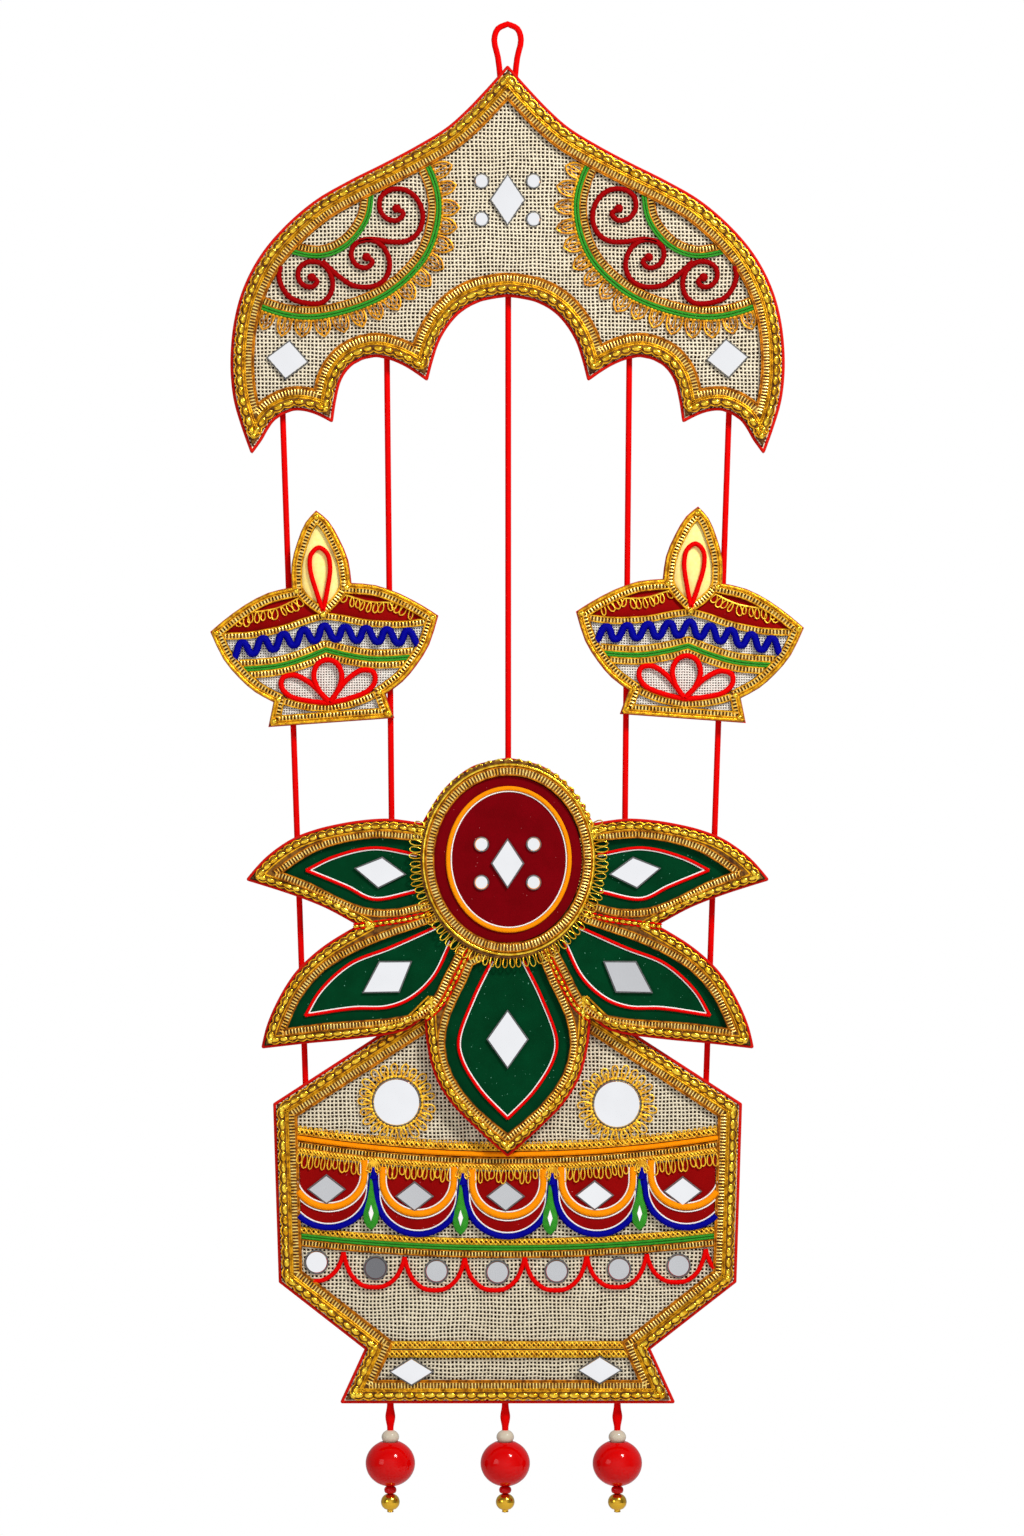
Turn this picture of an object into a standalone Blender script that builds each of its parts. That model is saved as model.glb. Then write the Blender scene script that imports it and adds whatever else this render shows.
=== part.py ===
"""Mirror work wall hanging: an arch, two oil lamps, a lotus and a pot in braid, cloth and mirror, hung on red cords.

Run with: blender --background --python part.py
Sizes are in millimetres and are turned into metres when a mesh is made. X runs to the right, Z up, and the front
faces -Y. The origin is the inside top of the hanging loop.
"""
from math import cos, pi, radians, sin

import bmesh
import bpy
import numpy as np

MM = 0.001

# Driving sizes
GAP = 0.3                # between two pieces that lie on each other
CORD_RADIUS = 1.5        # red satin cord, 3 mm across
BOARD = 4.0              # cloth covered board
LOTUS_BOARD = 3.0
CLOTH = 1.0              # jute and velvet faces
BRAID = 2.0              # beaded rope and ladder braid
MIRROR = 1.5
LADDER_HEIGHT = 1.5      # the ladder braid is flatter than the beaded rope beside it
RED_RIM = 1.5            # red cloth that shows outside the braid
BRAID_WIDTH = 9.8
LAMP_RIM = 0.4
LAMP_BRAID_WIDTH = 5.2
LAMP_BRAID = 1.6         # the lamps' braid is finer and flatter
ARCH_BAND = 1.2          # bands of ladder braid and lace laid on the arch
POT_BAND = 1.6           # bands of braid laid across the pot
DISC = 3.0               # card disc with its velvet, on the lotus
INNER_GAP = 0.6          # between a braid frame and the pieces laid inside it
CORD_OVERLAP = 20.0      # length of cord glued behind a panel
STEPS = 2                # points between two places on a smooth curve
CORNER_REACH = 6         # how far a moved side is lengthened to find its corner, in times the distance it moved
ROOM_DEPTH = 40.0        # depth of the blocks that cut pieces to the room inside a braid

# Depths, from the wall side to the front: each value is the back of a layer
PANEL_BACK = -(CORD_RADIUS + GAP)
FACE_BACK = PANEL_BACK - BOARD - GAP
TRIM_BACK = FACE_BACK - CLOTH - GAP
LOTUS_BACK = TRIM_BACK - BRAID - GAP
VELVET_BACK = LOTUS_BACK - LOTUS_BOARD - GAP
LOTUS_TRIM_BACK = VELVET_BACK - CLOTH - GAP
DISC_RING_BACK = LOTUS_TRIM_BACK - BRAID - GAP

# Outlines: each side runs from one corner to the next, as places (x, z) on a smooth curve
ARCH_SIDES = (
    ((0, -20.5), (11.5, -33.5), (30.3, -51.5), (61.8, -69.5), (95.3, -87.5), (120.5, -111.5), (133.2, -135.5),
     (138.0, -163.0), (136.4, -188.0), (128.0, -214.0)),
    ((128.0, -214.0), (123.0, -207.0), (117.0, -197.6), (107.0, -192.4), (97.0, -193.8), (87.8, -198.3)),
    ((87.8, -198.3), (84.0, -178.5), (77.6, -169.6), (66.0, -165.6), (52.0, -169.8), (40.3, -177.5)),
    ((40.3, -177.5), (34.5, -158.0), (25.0, -144.5), (13.5, -137.8), (0, -135.5)),
)
LAMP_SIDES = (
    ((0, 53.0), (5.7, 47.5), (10.5, 38.0), (14.2, 27.0), (15.0, 15.6)),
    ((15.0, 15.6), (27.0, 13.6), (39.0, 8.4), (50.5, 1.2), (57.2, -3.8)),
    ((57.2, -3.8), (51.6, -18.0), (44.4, -28.0), (37.0, -35.5), (28.2, -41.2)),
    ((28.2, -41.2), (31.6, -53.4)),
    ((31.6, -53.4), (0, -53.4)),
)
LOTUS_SIDES = (
    ((0, -367.0), (17.0, -370.9), (32.0, -382.9), (42.5, -399.5)),
    ((42.5, -399.5), (60.0, -397.2), (85.0, -400.0), (106.0, -406.5), (121.0, -417.0), (130.0, -427.2)),
    ((130.0, -427.2), (108.5, -434.0), (90.5, -441.0), (74.0, -450.0)),
    ((74.0, -450.0), (90.5, -460.0), (105.0, -473.0), (114.5, -488.0), (120.0, -501.0), (122.4, -511.0)),
    ((122.4, -511.0), (99.5, -508.4), (69.5, -505.4), (50.0, -501.5), (41.0, -494.0)),
    ((41.0, -494.0), (40.2, -506.5), (35.8, -525.0), (26.5, -540.0), (0, -565.0)),
)
POT_SIDES = (
    ((0, -475.5), (18.0, -475.5)),
    ((18.0, -475.5), (116.8, -539.5)),
    ((116.8, -539.5), (114.0, -628.5)),
    ((114.0, -628.5), (71.0, -662.0)),
    ((71.0, -662.0), (83.3, -688.8)),
    ((83.3, -688.8), (0, -688.8)),
)

# Windows in the lotus braid, where the green velvet shows: right-hand leaves and the centre one
UPPER_LEAF = (
    ((38.0, -408.0), (50.0, -407.6), (63.5, -406.5), (81.5, -408.8), (97.0, -414.0), (111.5, -423.5)),
    ((111.5, -423.5), (98.0, -428.8), (85.0, -435.5), (70.5, -441.0), (55.0, -441.5), (38.0, -437.0)),
    ((38.0, -437.0), (38.0, -408.0)),
)
LOWER_LEAF = (
    ((33.0, -447.0), (50.0, -453.0), (68.0, -459.5), (90.5, -472.0), (103.0, -486.5), (109.5, -501.0)),
    ((109.5, -501.0), (90.0, -498.4), (72.5, -497.2), (49.5, -494.6), (39.5, -489.0), (31.5, -474.5),
     (23.0, -458.0)),
    ((23.0, -458.0), (33.0, -447.0)),
)
CENTRE_LEAF = (
    ((0, -462.0), (14.0, -462.0)),
    ((14.0, -462.0), (20.5, -478.0), (28.5, -495.0), (31.0, -510.0), (27.0, -525.0), (15.5, -540.5), (0, -553.5)),
)
DISC_CENTRE = (0, -417.0)
DISC_VELVET = (37.0, 41.5)       # half width and half height
DISC_RING = (43.8, 50.0)
DISC_GAP = 0.5
RING_ROPE = ((0, 0), (0.6, 1.6), (2.2, 1.6), (2.7, 0.9), (3.3, BRAID))   # distance inward and height

# Bands on the arch: right-hand arcs of green cord
OUTER_ARC = ((47.0, -62.0), (39.5, -71.5), (34.4, -91.0), (40.7, -115.0), (59.0, -133.6), (83.0, -143.6),
             (103.0, -146.0), (123.0, -141.0), (134.0, -134.0))
INNER_ARC = ((68.5, -74.0), (68.2, -85.5), (70.8, -98.0), (80.3, -110.0), (92.3, -115.3), (107.0, -113.6),
             (118.0, -108.0))
LADDER = 4.6
GREEN_CORD = 1.3
LACE_LOOPS = 15
LACE_BASE = 4.5
LACE_TIP = 9.2

# One curl of scroll cord, from its inner end outward, and the tail that leads each curl on
CURL = ((0, 0), (3.4, -2.4), (0.8, -5.7), (-4.6, -5.2), (-8.4, -0.4), (-7.8, 5.6), (-3.0, 9.4), (3.7, 9.5),
        (9.4, 5.8), (12.7, -0.9), (12.8, -7.1), (9.9, -13.0), (4.2, -16.4))
SCROLL_RADIUS = 1.15
# place of the inner end, size of the curl and the tail's places from that inner end, on the left of the arch
SCROLL_CURLS = (
    ((-55.5, -91.9), 1.0, ((-3.5, -16.6), (-12.5, -15.3), (-19.0, -16.6))),
    ((-70.5, -116.2), 0.88, ((-6.0, -14.4), (-12.7, -10.5), (-18.0, -6.0), (-22.2, -2.0))),
    ((-97.9, -126.3), 0.80, ((-9.4, -10.9), (-14.2, -6.0), (-16.4, 0.4), (-15.6, 5.6))),
)

# Suspension cords: where each enters behind the arch and behind the pot or lotus, as x and z of the panels' edges
CORDS = {
    "cord_outer_left": ((-112.8, -192.5), (-101.3, -529.0)),
    "cord_inner_left": ((-60.5, -167.0), (-57.0, -511.0)),
    "cord_inner_right": ((61.0, -167.0), (57.8, -511.0)),
    "cord_outer_right": ((111.0, -192.5), (99.5, -529.0)),
}
CENTRE_CORD = ((0.3, -135.5), (0.3, -367.0))
LOOP_HALF = ((0, 1.5), (4.9, -0.9), (6.7, -6.5), (4.8, -15.5), (3.4, -30.0), (3.0, -48.0))

# Lamps: centre of each panel, and its lean
LAMP_LEAN = 4.1
LAMPS = {"left": ((-92.0, -295.5), LAMP_LEAN), "right": ((91.5, -293.5), -LAMP_LEAN)}
WAVE = {"count": 9, "length": 10.6, "height": 4.0, "radius": 1.4, "middle": -7.8, "droop": 0.133}

# Bands across the pot: lowest at the middle, rising to the sides
BAND_HALF = 106.0
BAND_REACH = 116.0       # bands are drawn this far and cut at the braid
TOP_BAND = {"middle": -565.5, "rise": 8.5, "above": 5.2, "below": 7.7}
MID_BAND = {"middle": -612.5, "rise": 6.3, "above": 5.6, "below": 5.1}
SCALLOP = {"count": 5, "pitch": 44.7, "cusp": 10.5, "round": 20.0, "half": 20.8}
WAIST = (-657.6, -666.5)

# Mirror pieces on the arch, pot and lotus: centre, then half width and half height, or the corners
ARCH_DIAMOND = ((0, -87.5), (8.6, 12.6))
DISC_DIAMOND = ((0, -419.0), (8.0, 12.0))
LEAF_DIAMOND = ((0, -506.7), (10.2, 14.3))
SQUARE = (10.3, 9.6)
FOOT_DIAMOND = (10.8, 6.8)
FOOT_MIRRORS = {"left": (-48.0, -673.0), "right": (46.0, -672.2)}
ROUND_MIRROR = 11.8
ROUND_MIRRORS = {"left": (-55.5, -538.5), "right": (54.6, -539.5)}
UPPER_MIRROR = ((76.0, -421.5), (62.5, -416.0), (51.0, -424.5), (64.5, -431.3))
LOWER_MIRROR = ((64.0, -468.0), (48.0, -468.0), (54.0, -483.2), (72.0, -483.4))

# Bead drops: x of each cord, and turned outlines as radius and z
DROP_X = {"left": -58.8, "centre": -1.2, "right": 55.0}
DROP_CORD = ((1.7, -689.1), (1.7, -694.0), (2.5, -697.5), (1.9, -700.5), (1.6, -703.0))
PEARL = {"radius": 4.45, "half": 3.6, "z": -706.9}
BALL = {"radius": 12.4, "half": 11.6, "z": -720.0, "dimple": 4.5, "dimple_z": -711.4}
TAIL = ((1.2, -731.9), (2.7, -732.5), (3.1, -733.4), (2.7, -734.5), (1.9, -735.1), (3.6, -736.3), (4.6, -739.4),
        (3.6, -742.5), (1.6, -743.6), (1.2, -744.7))
BEAD_SIDES = 16
BEAD_FLAT = 0.22         # angle left off each end of a bead, in radians

# Colour, roughness and metallic value of each finish
FINISHES = {
    "red_cord": ((0.80, 0.01, 0.01), 0.45, 0.0),
    "red_cloth": ((0.55, 0.02, 0.01), 0.8, 0.0),
    "jute": ((0.62, 0.52, 0.36), 0.9, 0.0),
    "gold_braid": ((0.85, 0.52, 0.08), 0.35, 0.8),
    "gold_lace": ((0.85, 0.50, 0.08), 0.45, 0.6),
    "blue_cord": ((0.01, 0.01, 0.35), 0.5, 0.0),
    "scroll_cord": ((0.35, 0.0, 0.01), 0.5, 0.0),
    "green_velvet": ((0.0, 0.07, 0.02), 0.9, 0.0),
    "maroon_velvet": ((0.22, 0.0, 0.005), 0.9, 0.0),
    "mirror": ((0.9, 0.9, 0.92), 0.04, 1.0),
    "pearl": ((0.8, 0.72, 0.6), 0.25, 0.0),
    "red_bead": ((0.7, 0.0, 0.01), 0.12, 0.0),
    "gold_bead": ((0.75, 0.5, 0.08), 0.2, 1.0),
}


def clear_scene():
    for item in list(bpy.data.objects):
        bpy.data.objects.remove(item)


def finish(obj, name):
    """Gives the object its own Principled material."""
    colour, roughness, metallic = FINISHES[name]
    material = bpy.data.materials.new(obj.name + "_" + name)
    material.use_nodes = True
    shader = material.node_tree.nodes["Principled BSDF"]
    shader.inputs["Base Color"].default_value = (*colour, 1.0)
    shader.inputs["Roughness"].default_value = roughness
    shader.inputs["Metallic"].default_value = metallic
    material.diffuse_color = (*colour, 1.0)
    obj.data.materials.append(material)
    return obj


# Curves and outlines in the X, Z plane
def smooth(places, steps=STEPS):
    """A centripetal Catmull-Rom curve through the places, with both ends kept."""
    p = np.array(places, float)
    if len(p) < 3:
        return p
    p = np.vstack([2 * p[0] - p[1], p, 2 * p[-1] - p[-2]])
    out = [p[1]]
    for a, b, c, d in zip(p, p[1:], p[2:], p[3:]):
        t0 = 0.0
        t1 = t0 + np.linalg.norm(b - a) ** 0.5
        t2 = t1 + np.linalg.norm(c - b) ** 0.5
        t3 = t2 + np.linalg.norm(d - c) ** 0.5
        for t in np.linspace(t1, t2, steps + 1)[1:]:
            ab = (a * (t1 - t) + b * (t - t0)) / (t1 - t0)
            bc = (b * (t2 - t) + c * (t - t1)) / (t2 - t1)
            cd = (c * (t3 - t) + d * (t - t2)) / (t3 - t2)
            abc = (ab * (t2 - t) + bc * (t - t0)) / (t2 - t0)
            bcd = (bc * (t3 - t) + cd * (t - t1)) / (t3 - t1)
            out.append((abc * (t2 - t) + bcd * (t - t1)) / (t2 - t1))
    return np.array(out)


def evenly(line, count):
    """The same line with count points at even distances."""
    length = np.concatenate([[0], np.cumsum(np.linalg.norm(np.diff(line, axis=0), axis=1))])
    wanted = np.linspace(0, length[-1], count)
    return np.column_stack([np.interp(wanted, length, line[:, k]) for k in (0, 1)])


def normals(line):
    """Unit normals to the left of the line's direction."""
    run = np.gradient(line, axis=0)
    run /= np.linalg.norm(run, axis=1)[:, None]
    return np.column_stack([-run[:, 1], run[:, 0]])


def shift(line, distance):
    """The line moved to its left by one distance, or by one for each point."""
    return line + normals(line) * np.broadcast_to(distance, len(line))[:, None]


def mirrored(line):
    return np.array(line, float)[::-1] * (-1, 1)


def both_halves(sides, round_top=False, round_bottom=False):
    """The whole outline, anticlockwise from the top, from its right-hand sides given clockwise.

    A round top or bottom has no corner on the middle line, so its two halves become one side.
    """
    right = [smooth(side) for side in sides]
    left = [side * (-1, 1) for side in right]
    back_up = [side[::-1] for side in right[::-1]]
    if round_bottom:
        back_up[0] = np.vstack([left.pop(), back_up[0][1:]])
    whole = left + back_up
    if round_top:
        whole[0] = np.vstack([whole.pop(), whole[0][1:]])
    return whole


def crossing(first, second, near):
    """Where two lines cross, nearest to a given place."""
    best = None
    for a, b in zip(first, first[1:]):
        for c, d in zip(second, second[1:]):
            r, s = b - a, d - c
            turn = r[0] * s[1] - r[1] * s[0]
            if abs(turn) < 1e-12:
                continue
            t = ((c - a)[0] * s[1] - (c - a)[1] * s[0]) / turn
            u = ((c - a)[0] * r[1] - (c - a)[1] * r[0]) / turn
            if -1e-9 <= t <= 1 + 1e-9 and -1e-9 <= u <= 1 + 1e-9:
                place = a + t * r
                if best is None or np.linalg.norm(place - near) < np.linalg.norm(best - near):
                    best = place
    return best


def stretched(line, extra):
    """The line with a straight run added at both ends."""
    head = line[0] - line[1]
    tail = line[-1] - line[-2]
    head = line[0] + head / np.linalg.norm(head) * extra
    tail = line[-1] + tail / np.linalg.norm(tail) * extra
    return np.vstack([head, line, tail])


def cut_between(line, start, end):
    """The part of a line from the place nearest start to the place nearest end."""
    def along(place):
        best = (1e9, 0.0)
        for k, (a, b) in enumerate(zip(line, line[1:])):
            t = np.clip(np.dot(place - a, b - a) / np.dot(b - a, b - a), 0, 1)
            best = min(best, (np.linalg.norm(a + t * (b - a) - place), k + t))
        return best[1]
    low, high = along(start), along(end)
    inner = [line[k] for k in range(len(line)) if low + 1e-6 < k < high - 1e-6]
    return np.array([start, *inner, end])


def inset(sides, distance):
    """Every side moved inward by a distance and cut or lengthened to meet its neighbours at the corners."""
    if distance == 0:
        return [side.copy() for side in sides]
    moved = [stretched(shift(side, distance), CORNER_REACH * abs(distance)) for side in sides]
    corners = [crossing(moved[k - 1], moved[k], sides[k][0]) for k in range(len(sides))]
    return [cut_between(line, corners[k], corners[(k + 1) % len(sides)]) for k, line in enumerate(moved)]


def loop(sides):
    """One closed line from an outline's sides."""
    return np.vstack([side[:-1] for side in sides])


def ellipse(centre, half, count=48):
    turn = np.arange(count) * 2 * pi / count
    return np.column_stack([centre[0] + half[0] * np.cos(turn), centre[1] + half[1] * np.sin(turn)])


def circle(centre, radius, count=32):
    return ellipse(centre, (radius, radius), count)


def diamond(centre, half, turned=0.0):
    corners = np.array([(half[0], 0), (0, half[1]), (-half[0], 0), (0, -half[1])])
    c, s = cos(radians(turned)), sin(radians(turned))
    return corners @ np.array([(c, s), (-s, c)]) + centre


# Solids
def mesh_object(name, points, faces, material, is_smooth=False):
    """An object from points in millimetres and faces, with the faces turned outward."""
    mesh = bpy.data.meshes.new(name)
    bm = bmesh.new()
    verts = [bm.verts.new([value * MM for value in point]) for point in points]
    for face in faces:
        bm.faces.new([verts[k] for k in face])
    bmesh.ops.recalc_face_normals(bm, faces=bm.faces)
    bm.to_mesh(mesh)
    bm.free()
    obj = bpy.data.objects.new(name, mesh)
    bpy.context.collection.objects.link(obj)
    if is_smooth:
        mesh.shade_smooth()
        mesh.set_sharp_from_angle(angle=radians(40))
    return finish(obj, material) if material else obj


def slab(name, line, back, thickness, material):
    """A flat piece with the given closed outline, from its back toward the front."""
    count = len(line)
    points = [(x, back, z) for x, z in line] + [(x, back - thickness, z) for x, z in line]
    faces = [list(range(count)), list(range(count, 2 * count))]
    faces += [(k, (k + 1) % count, count + (k + 1) % count, count + k) for k in range(count)]
    return mesh_object(name, points, faces, material)


def closed_band(name, rows, material):
    """A raised band from rows of points, each a closed line, which also close on the first row."""
    count = len(rows[0])
    faces = []
    for r in range(len(rows)):
        a, b = r * count, ((r + 1) % len(rows)) * count
        faces += [(a + k, a + (k + 1) % count, b + (k + 1) % count, b + k) for k in range(count)]
    return mesh_object(name, [point for row in rows for point in row], faces, material)


def frame_band(name, sides, profile, back, material):
    """A raised band that runs round an outline. The profile gives distances inward with their heights."""
    rows = []
    for distance, height in profile:
        moved = inset(sides, distance)
        line = loop([evenly(side, len(first)) for side, first in zip(moved, sides)])
        rows.append([(x, back - height, z) for x, z in line])
    return closed_band(name, rows, material)


def strip(name, middle, low, high, back, thickness, material):
    """A flat ribbon along a line, from low to high on its left side. Either width may change along it."""
    line = np.vstack([shift(middle, high), shift(middle, low)[::-1]])
    return slab(name, line, back, thickness, material)


def flat_cord(name, line, radius, back, material, sides=6):
    """A cord laid flat on a face: a round tube along a line in the panel's plane."""
    out = normals(line)
    points = []
    for place, side in zip(line, out):
        for k in range(sides):
            turn = 2 * pi * (k + 0.5) / sides
            x, z = place + side * radius * cos(turn)
            points.append((x, back - radius + radius * sin(turn), z))
    last = (len(line) - 1) * sides
    faces = [list(range(sides)), list(range(last, last + sides))]
    for r in range(len(line) - 1):
        a = r * sides
        faces += [(a + k, a + (k + 1) % sides, a + sides + (k + 1) % sides, a + sides + k) for k in range(sides)]
    return mesh_object(name, points, faces, material, is_smooth=True)


def turned(name, x, outline, material, sides=BEAD_SIDES):
    """A bead or knot turned about a vertical axis, from radius and z, closed by flat ends."""
    points = []
    for radius, z in outline:
        points += [(x + radius * cos(2 * pi * k / sides), radius * sin(2 * pi * k / sides), z) for k in range(sides)]
    last = (len(outline) - 1) * sides
    faces = [list(range(sides)), list(range(last, last + sides))]
    for r in range(len(outline) - 1):
        a = r * sides
        faces += [(a + k, a + (k + 1) % sides, a + sides + (k + 1) % sides, a + sides + k) for k in range(sides)]
    return mesh_object(name, points, faces, material, is_smooth=True)


def hanging_cord(name, places, material, radius=CORD_RADIUS):
    """A round cord as a curve with a bevel, from places (x, y, z)."""
    data = bpy.data.curves.new(name, "CURVE")
    data.dimensions = "3D"
    data.bevel_depth = radius * MM
    data.bevel_resolution = 2
    data.use_fill_caps = True
    spline = data.splines.new("POLY")
    spline.points.add(len(places) - 1)
    for point, place in zip(spline.points, places):
        point.co = (*[value * MM for value in place], 1.0)
    obj = bpy.data.objects.new(name, data)
    bpy.context.collection.objects.link(obj)
    return finish(obj, material)


def as_cutter(obj):
    obj.hide_render = True
    obj.display_type = "WIRE"
    return obj


def cut_with(obj, cutter, operation):
    change = obj.modifiers.new(operation.lower(), "BOOLEAN")
    change.operation = operation
    change.object = cutter
    change.solver = "EXACT"
    return obj


# The pieces
def make_loop_and_cords():
    right = smooth(LOOP_HALF, 3)
    line = np.vstack([right[::-1], right[1:] * (-1, 1)])
    hanging_cord("hanging_loop", [(x, 0, z) for x, z in line], "red_cord")
    for name, ((x0, z0), (x1, z1)) in CORDS.items():
        lean = (x1 - x0) / (z0 - z1)
        top = (x0 - lean * CORD_OVERLAP, 0, z0 + CORD_OVERLAP)
        bottom = (x1 + lean * CORD_OVERLAP, 0, z1 - CORD_OVERLAP)
        hanging_cord(name, [tuple(p) for p in np.linspace(top, bottom, 14)], "red_cord")
    (x0, z0), (x1, z1) = CENTRE_CORD
    behind_lotus = LOTUS_BACK + GAP + CORD_RADIUS
    straight = np.linspace((x0, 0, z0 - 1), (x1, behind_lotus, z1 + 1), 12)
    places = [(x0, 0, z0 + CORD_OVERLAP), *straight, (x1, behind_lotus, z1 - CORD_OVERLAP)]
    hanging_cord("cord_centre", [tuple(p) for p in places], "red_cord")


def braid_profile(width, height):
    """Two rounded ridges side by side: the beaded rope outside and the ladder braid inside."""
    rope = width * 0.46
    ladder = height * LADDER_HEIGHT / BRAID
    return ((0, 0), (0.7, height), (rope, height), (rope + 0.6, height * 0.45), (rope + 1.4, ladder),
            (width - 0.4, ladder), (width, 0))


def shifted_profile(profile, start):
    return [(start + distance, height) for distance, height in profile]


def make_arch():
    outline = both_halves(ARCH_SIDES, round_bottom=True)
    slab("arch_board", loop(outline), PANEL_BACK, BOARD, "red_cloth")
    slab("arch_jute", loop(inset(outline, RED_RIM * 0.6)), FACE_BACK, CLOTH, "jute")
    profile = shifted_profile(braid_profile(BRAID_WIDTH, BRAID), RED_RIM)
    frame_band("arch_braid", outline, profile, TRIM_BACK, "gold_braid")
    room = as_cutter(slab("arch_room", loop(inset(outline, RED_RIM + BRAID_WIDTH + INNER_GAP)), 0, ROOM_DEPTH, None))
    for side, flip in (("left", -1), ("right", 1)):
        make_medallion(side, flip, room)
    slab("arch_mirror_centre", diamond(*ARCH_DIAMOND), TRIM_BACK, MIRROR, "mirror")
    slab("arch_mirror_left", diamond((-110.0, -167.5), SQUARE, -6), TRIM_BACK, MIRROR, "mirror")
    slab("arch_mirror_right", diamond((109.8, -166.8), SQUARE, 4), TRIM_BACK, MIRROR, "mirror")


def make_medallion(side, flip, room):
    """Ladder braid, green cord and loop lace in two arcs, and a scroll of cord between them."""
    outer = smooth(OUTER_ARC)
    outer = evenly(outer, LACE_LOOPS * 4 + 1)
    wave = np.abs(np.sin(np.linspace(0, LACE_LOOPS * pi, len(outer))))
    edge = LACE_BASE + (LACE_TIP - LACE_BASE) * wave
    inner = evenly(smooth(INNER_ARC), 25)
    if flip < 0:
        outer, inner = outer * (-1, 1), inner * (-1, 1)
    band = strip("arch_medallion_" + side, outer, -flip * edge, flip * LADDER, TRIM_BACK, ARCH_BAND, "gold_lace")
    cut_with(band, room, "INTERSECT")
    low, high = -flip * GREEN_CORD, flip * LADDER
    band = strip("arch_half_round_" + side, inner, low, high, TRIM_BACK, ARCH_BAND, "gold_lace")
    cut_with(band, room, "INTERSECT")
    curls = []
    for k, ((x, z), size, tail) in enumerate(SCROLL_CURLS):
        places = [(a * size + x, b * size + z) for a, b in CURL] + [(a + x, b + z) for a, b in tail]
        line = smooth(places, 2) * (-flip, 1)
        name = "arch_scroll_" + side if k == 0 else "arch_scroll_" + side + "_part_" + str(k)
        curls.append(flat_cord(name, line, SCROLL_RADIUS, TRIM_BACK, "scroll_cord"))
    for extra in curls[1:]:
        cut_with(curls[0], as_cutter(extra), "UNION")
    cut_with(curls[0], room, "INTERSECT")


def make_lamp(side, centre, lean):
    holder = bpy.data.objects.new("lamp_place_" + side, None)
    bpy.context.collection.objects.link(holder)
    holder.location = (centre[0] * MM, 0, centre[1] * MM)
    holder.rotation_euler = (0, -radians(lean), 0)
    outline = both_halves(LAMP_SIDES, round_bottom=True)
    profile = shifted_profile(braid_profile(LAMP_BRAID_WIDTH, LAMP_BRAID), LAMP_RIM)
    pieces = [
        slab("lamp_board_" + side, loop(outline), PANEL_BACK, BOARD, "red_cloth"),
        slab("lamp_jute_" + side, loop(inset(outline, LAMP_RIM * 2)), FACE_BACK, CLOTH, "jute"),
        frame_band("lamp_braid_" + side, outline, profile, TRIM_BACK, "gold_braid"),
    ]
    reach = WAVE["count"] * WAVE["length"] / 2
    x = np.linspace(-reach, reach, WAVE["count"] * 6 + 1)
    z = WAVE["middle"] - WAVE["droop"] * np.abs(x) + WAVE["height"] * np.cos(2 * pi * x / WAVE["length"])
    wave = flat_cord("lamp_wave_" + side, np.column_stack([x, z]), WAVE["radius"], TRIM_BACK, "blue_cord")
    inner = loop(inset(outline, LAMP_RIM + LAMP_BRAID_WIDTH + INNER_GAP))
    room = as_cutter(slab("lamp_room_" + side, inner, 0, ROOM_DEPTH, None))
    cut_with(wave, room, "INTERSECT")
    for piece in [*pieces, wave, room]:
        piece.parent = holder


def make_lotus():
    outline = both_halves(LOTUS_SIDES, round_top=True)
    slab("lotus_board", loop(outline), LOTUS_BACK, LOTUS_BOARD, "red_cloth")
    slab("lotus_velvet", loop(inset(outline, RED_RIM * 0.6)), VELVET_BACK, CLOTH, "green_velvet")
    braid = slab("lotus_braid", loop(inset(outline, RED_RIM)), LOTUS_TRIM_BACK, BRAID, "gold_braid")
    leaves = {
        "upper_right": loop([smooth(side) for side in UPPER_LEAF]),
        "lower_right": loop([smooth(side) for side in LOWER_LEAF]),
        "centre": np.vstack([loop([smooth(side) for side in CENTRE_LEAF]),
                             mirrored(smooth(CENTRE_LEAF[1]))[:-1]]),
        "disc": ellipse(DISC_CENTRE, (DISC_VELVET[0] + DISC_GAP, DISC_VELVET[1] + DISC_GAP)),
    }
    leaves["upper_left"] = mirrored(leaves["upper_right"])
    leaves["lower_left"] = mirrored(leaves["lower_right"])
    for name, line in leaves.items():
        window = slab("lotus_window_" + name, line, LOTUS_TRIM_BACK + 1, BRAID + 2, None)
        cut_with(braid, as_cutter(window), "DIFFERENCE")
    slab("lotus_disc", ellipse(DISC_CENTRE, DISC_VELVET), LOTUS_TRIM_BACK, DISC, "maroon_velvet")
    make_disc_ring()
    on_disc = LOTUS_TRIM_BACK - DISC - GAP
    slab("lotus_mirror_disc", diamond(*DISC_DIAMOND), on_disc, MIRROR, "mirror")
    slab("lotus_mirror_centre", diamond(*LEAF_DIAMOND), LOTUS_TRIM_BACK, MIRROR, "mirror")
    for name, corners in (("upper", UPPER_MIRROR), ("lower", LOWER_MIRROR)):
        slab("lotus_mirror_" + name + "_right", np.array(corners), LOTUS_TRIM_BACK, MIRROR, "mirror")
        slab("lotus_mirror_" + name + "_left", mirrored(corners), LOTUS_TRIM_BACK, MIRROR, "mirror")


def make_disc_ring():
    """The braid ring round the disc: a rounded rope outside and a ladder inside."""
    width = DISC_RING[0] - DISC_VELVET[0] - DISC_GAP
    squash = (DISC_RING[1] - DISC_VELVET[1] - DISC_GAP) / width
    profile = (*RING_ROPE, (width - 0.4, BRAID), (width, 0))
    rows = []
    for distance, height in profile:
        half = (DISC_RING[0] - distance, DISC_RING[1] - distance * squash)
        rows.append([(x, DISC_RING_BACK - height, z) for x, z in ellipse(DISC_CENTRE, half)])
    closed_band("lotus_disc_ring", rows, "gold_braid")


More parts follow.
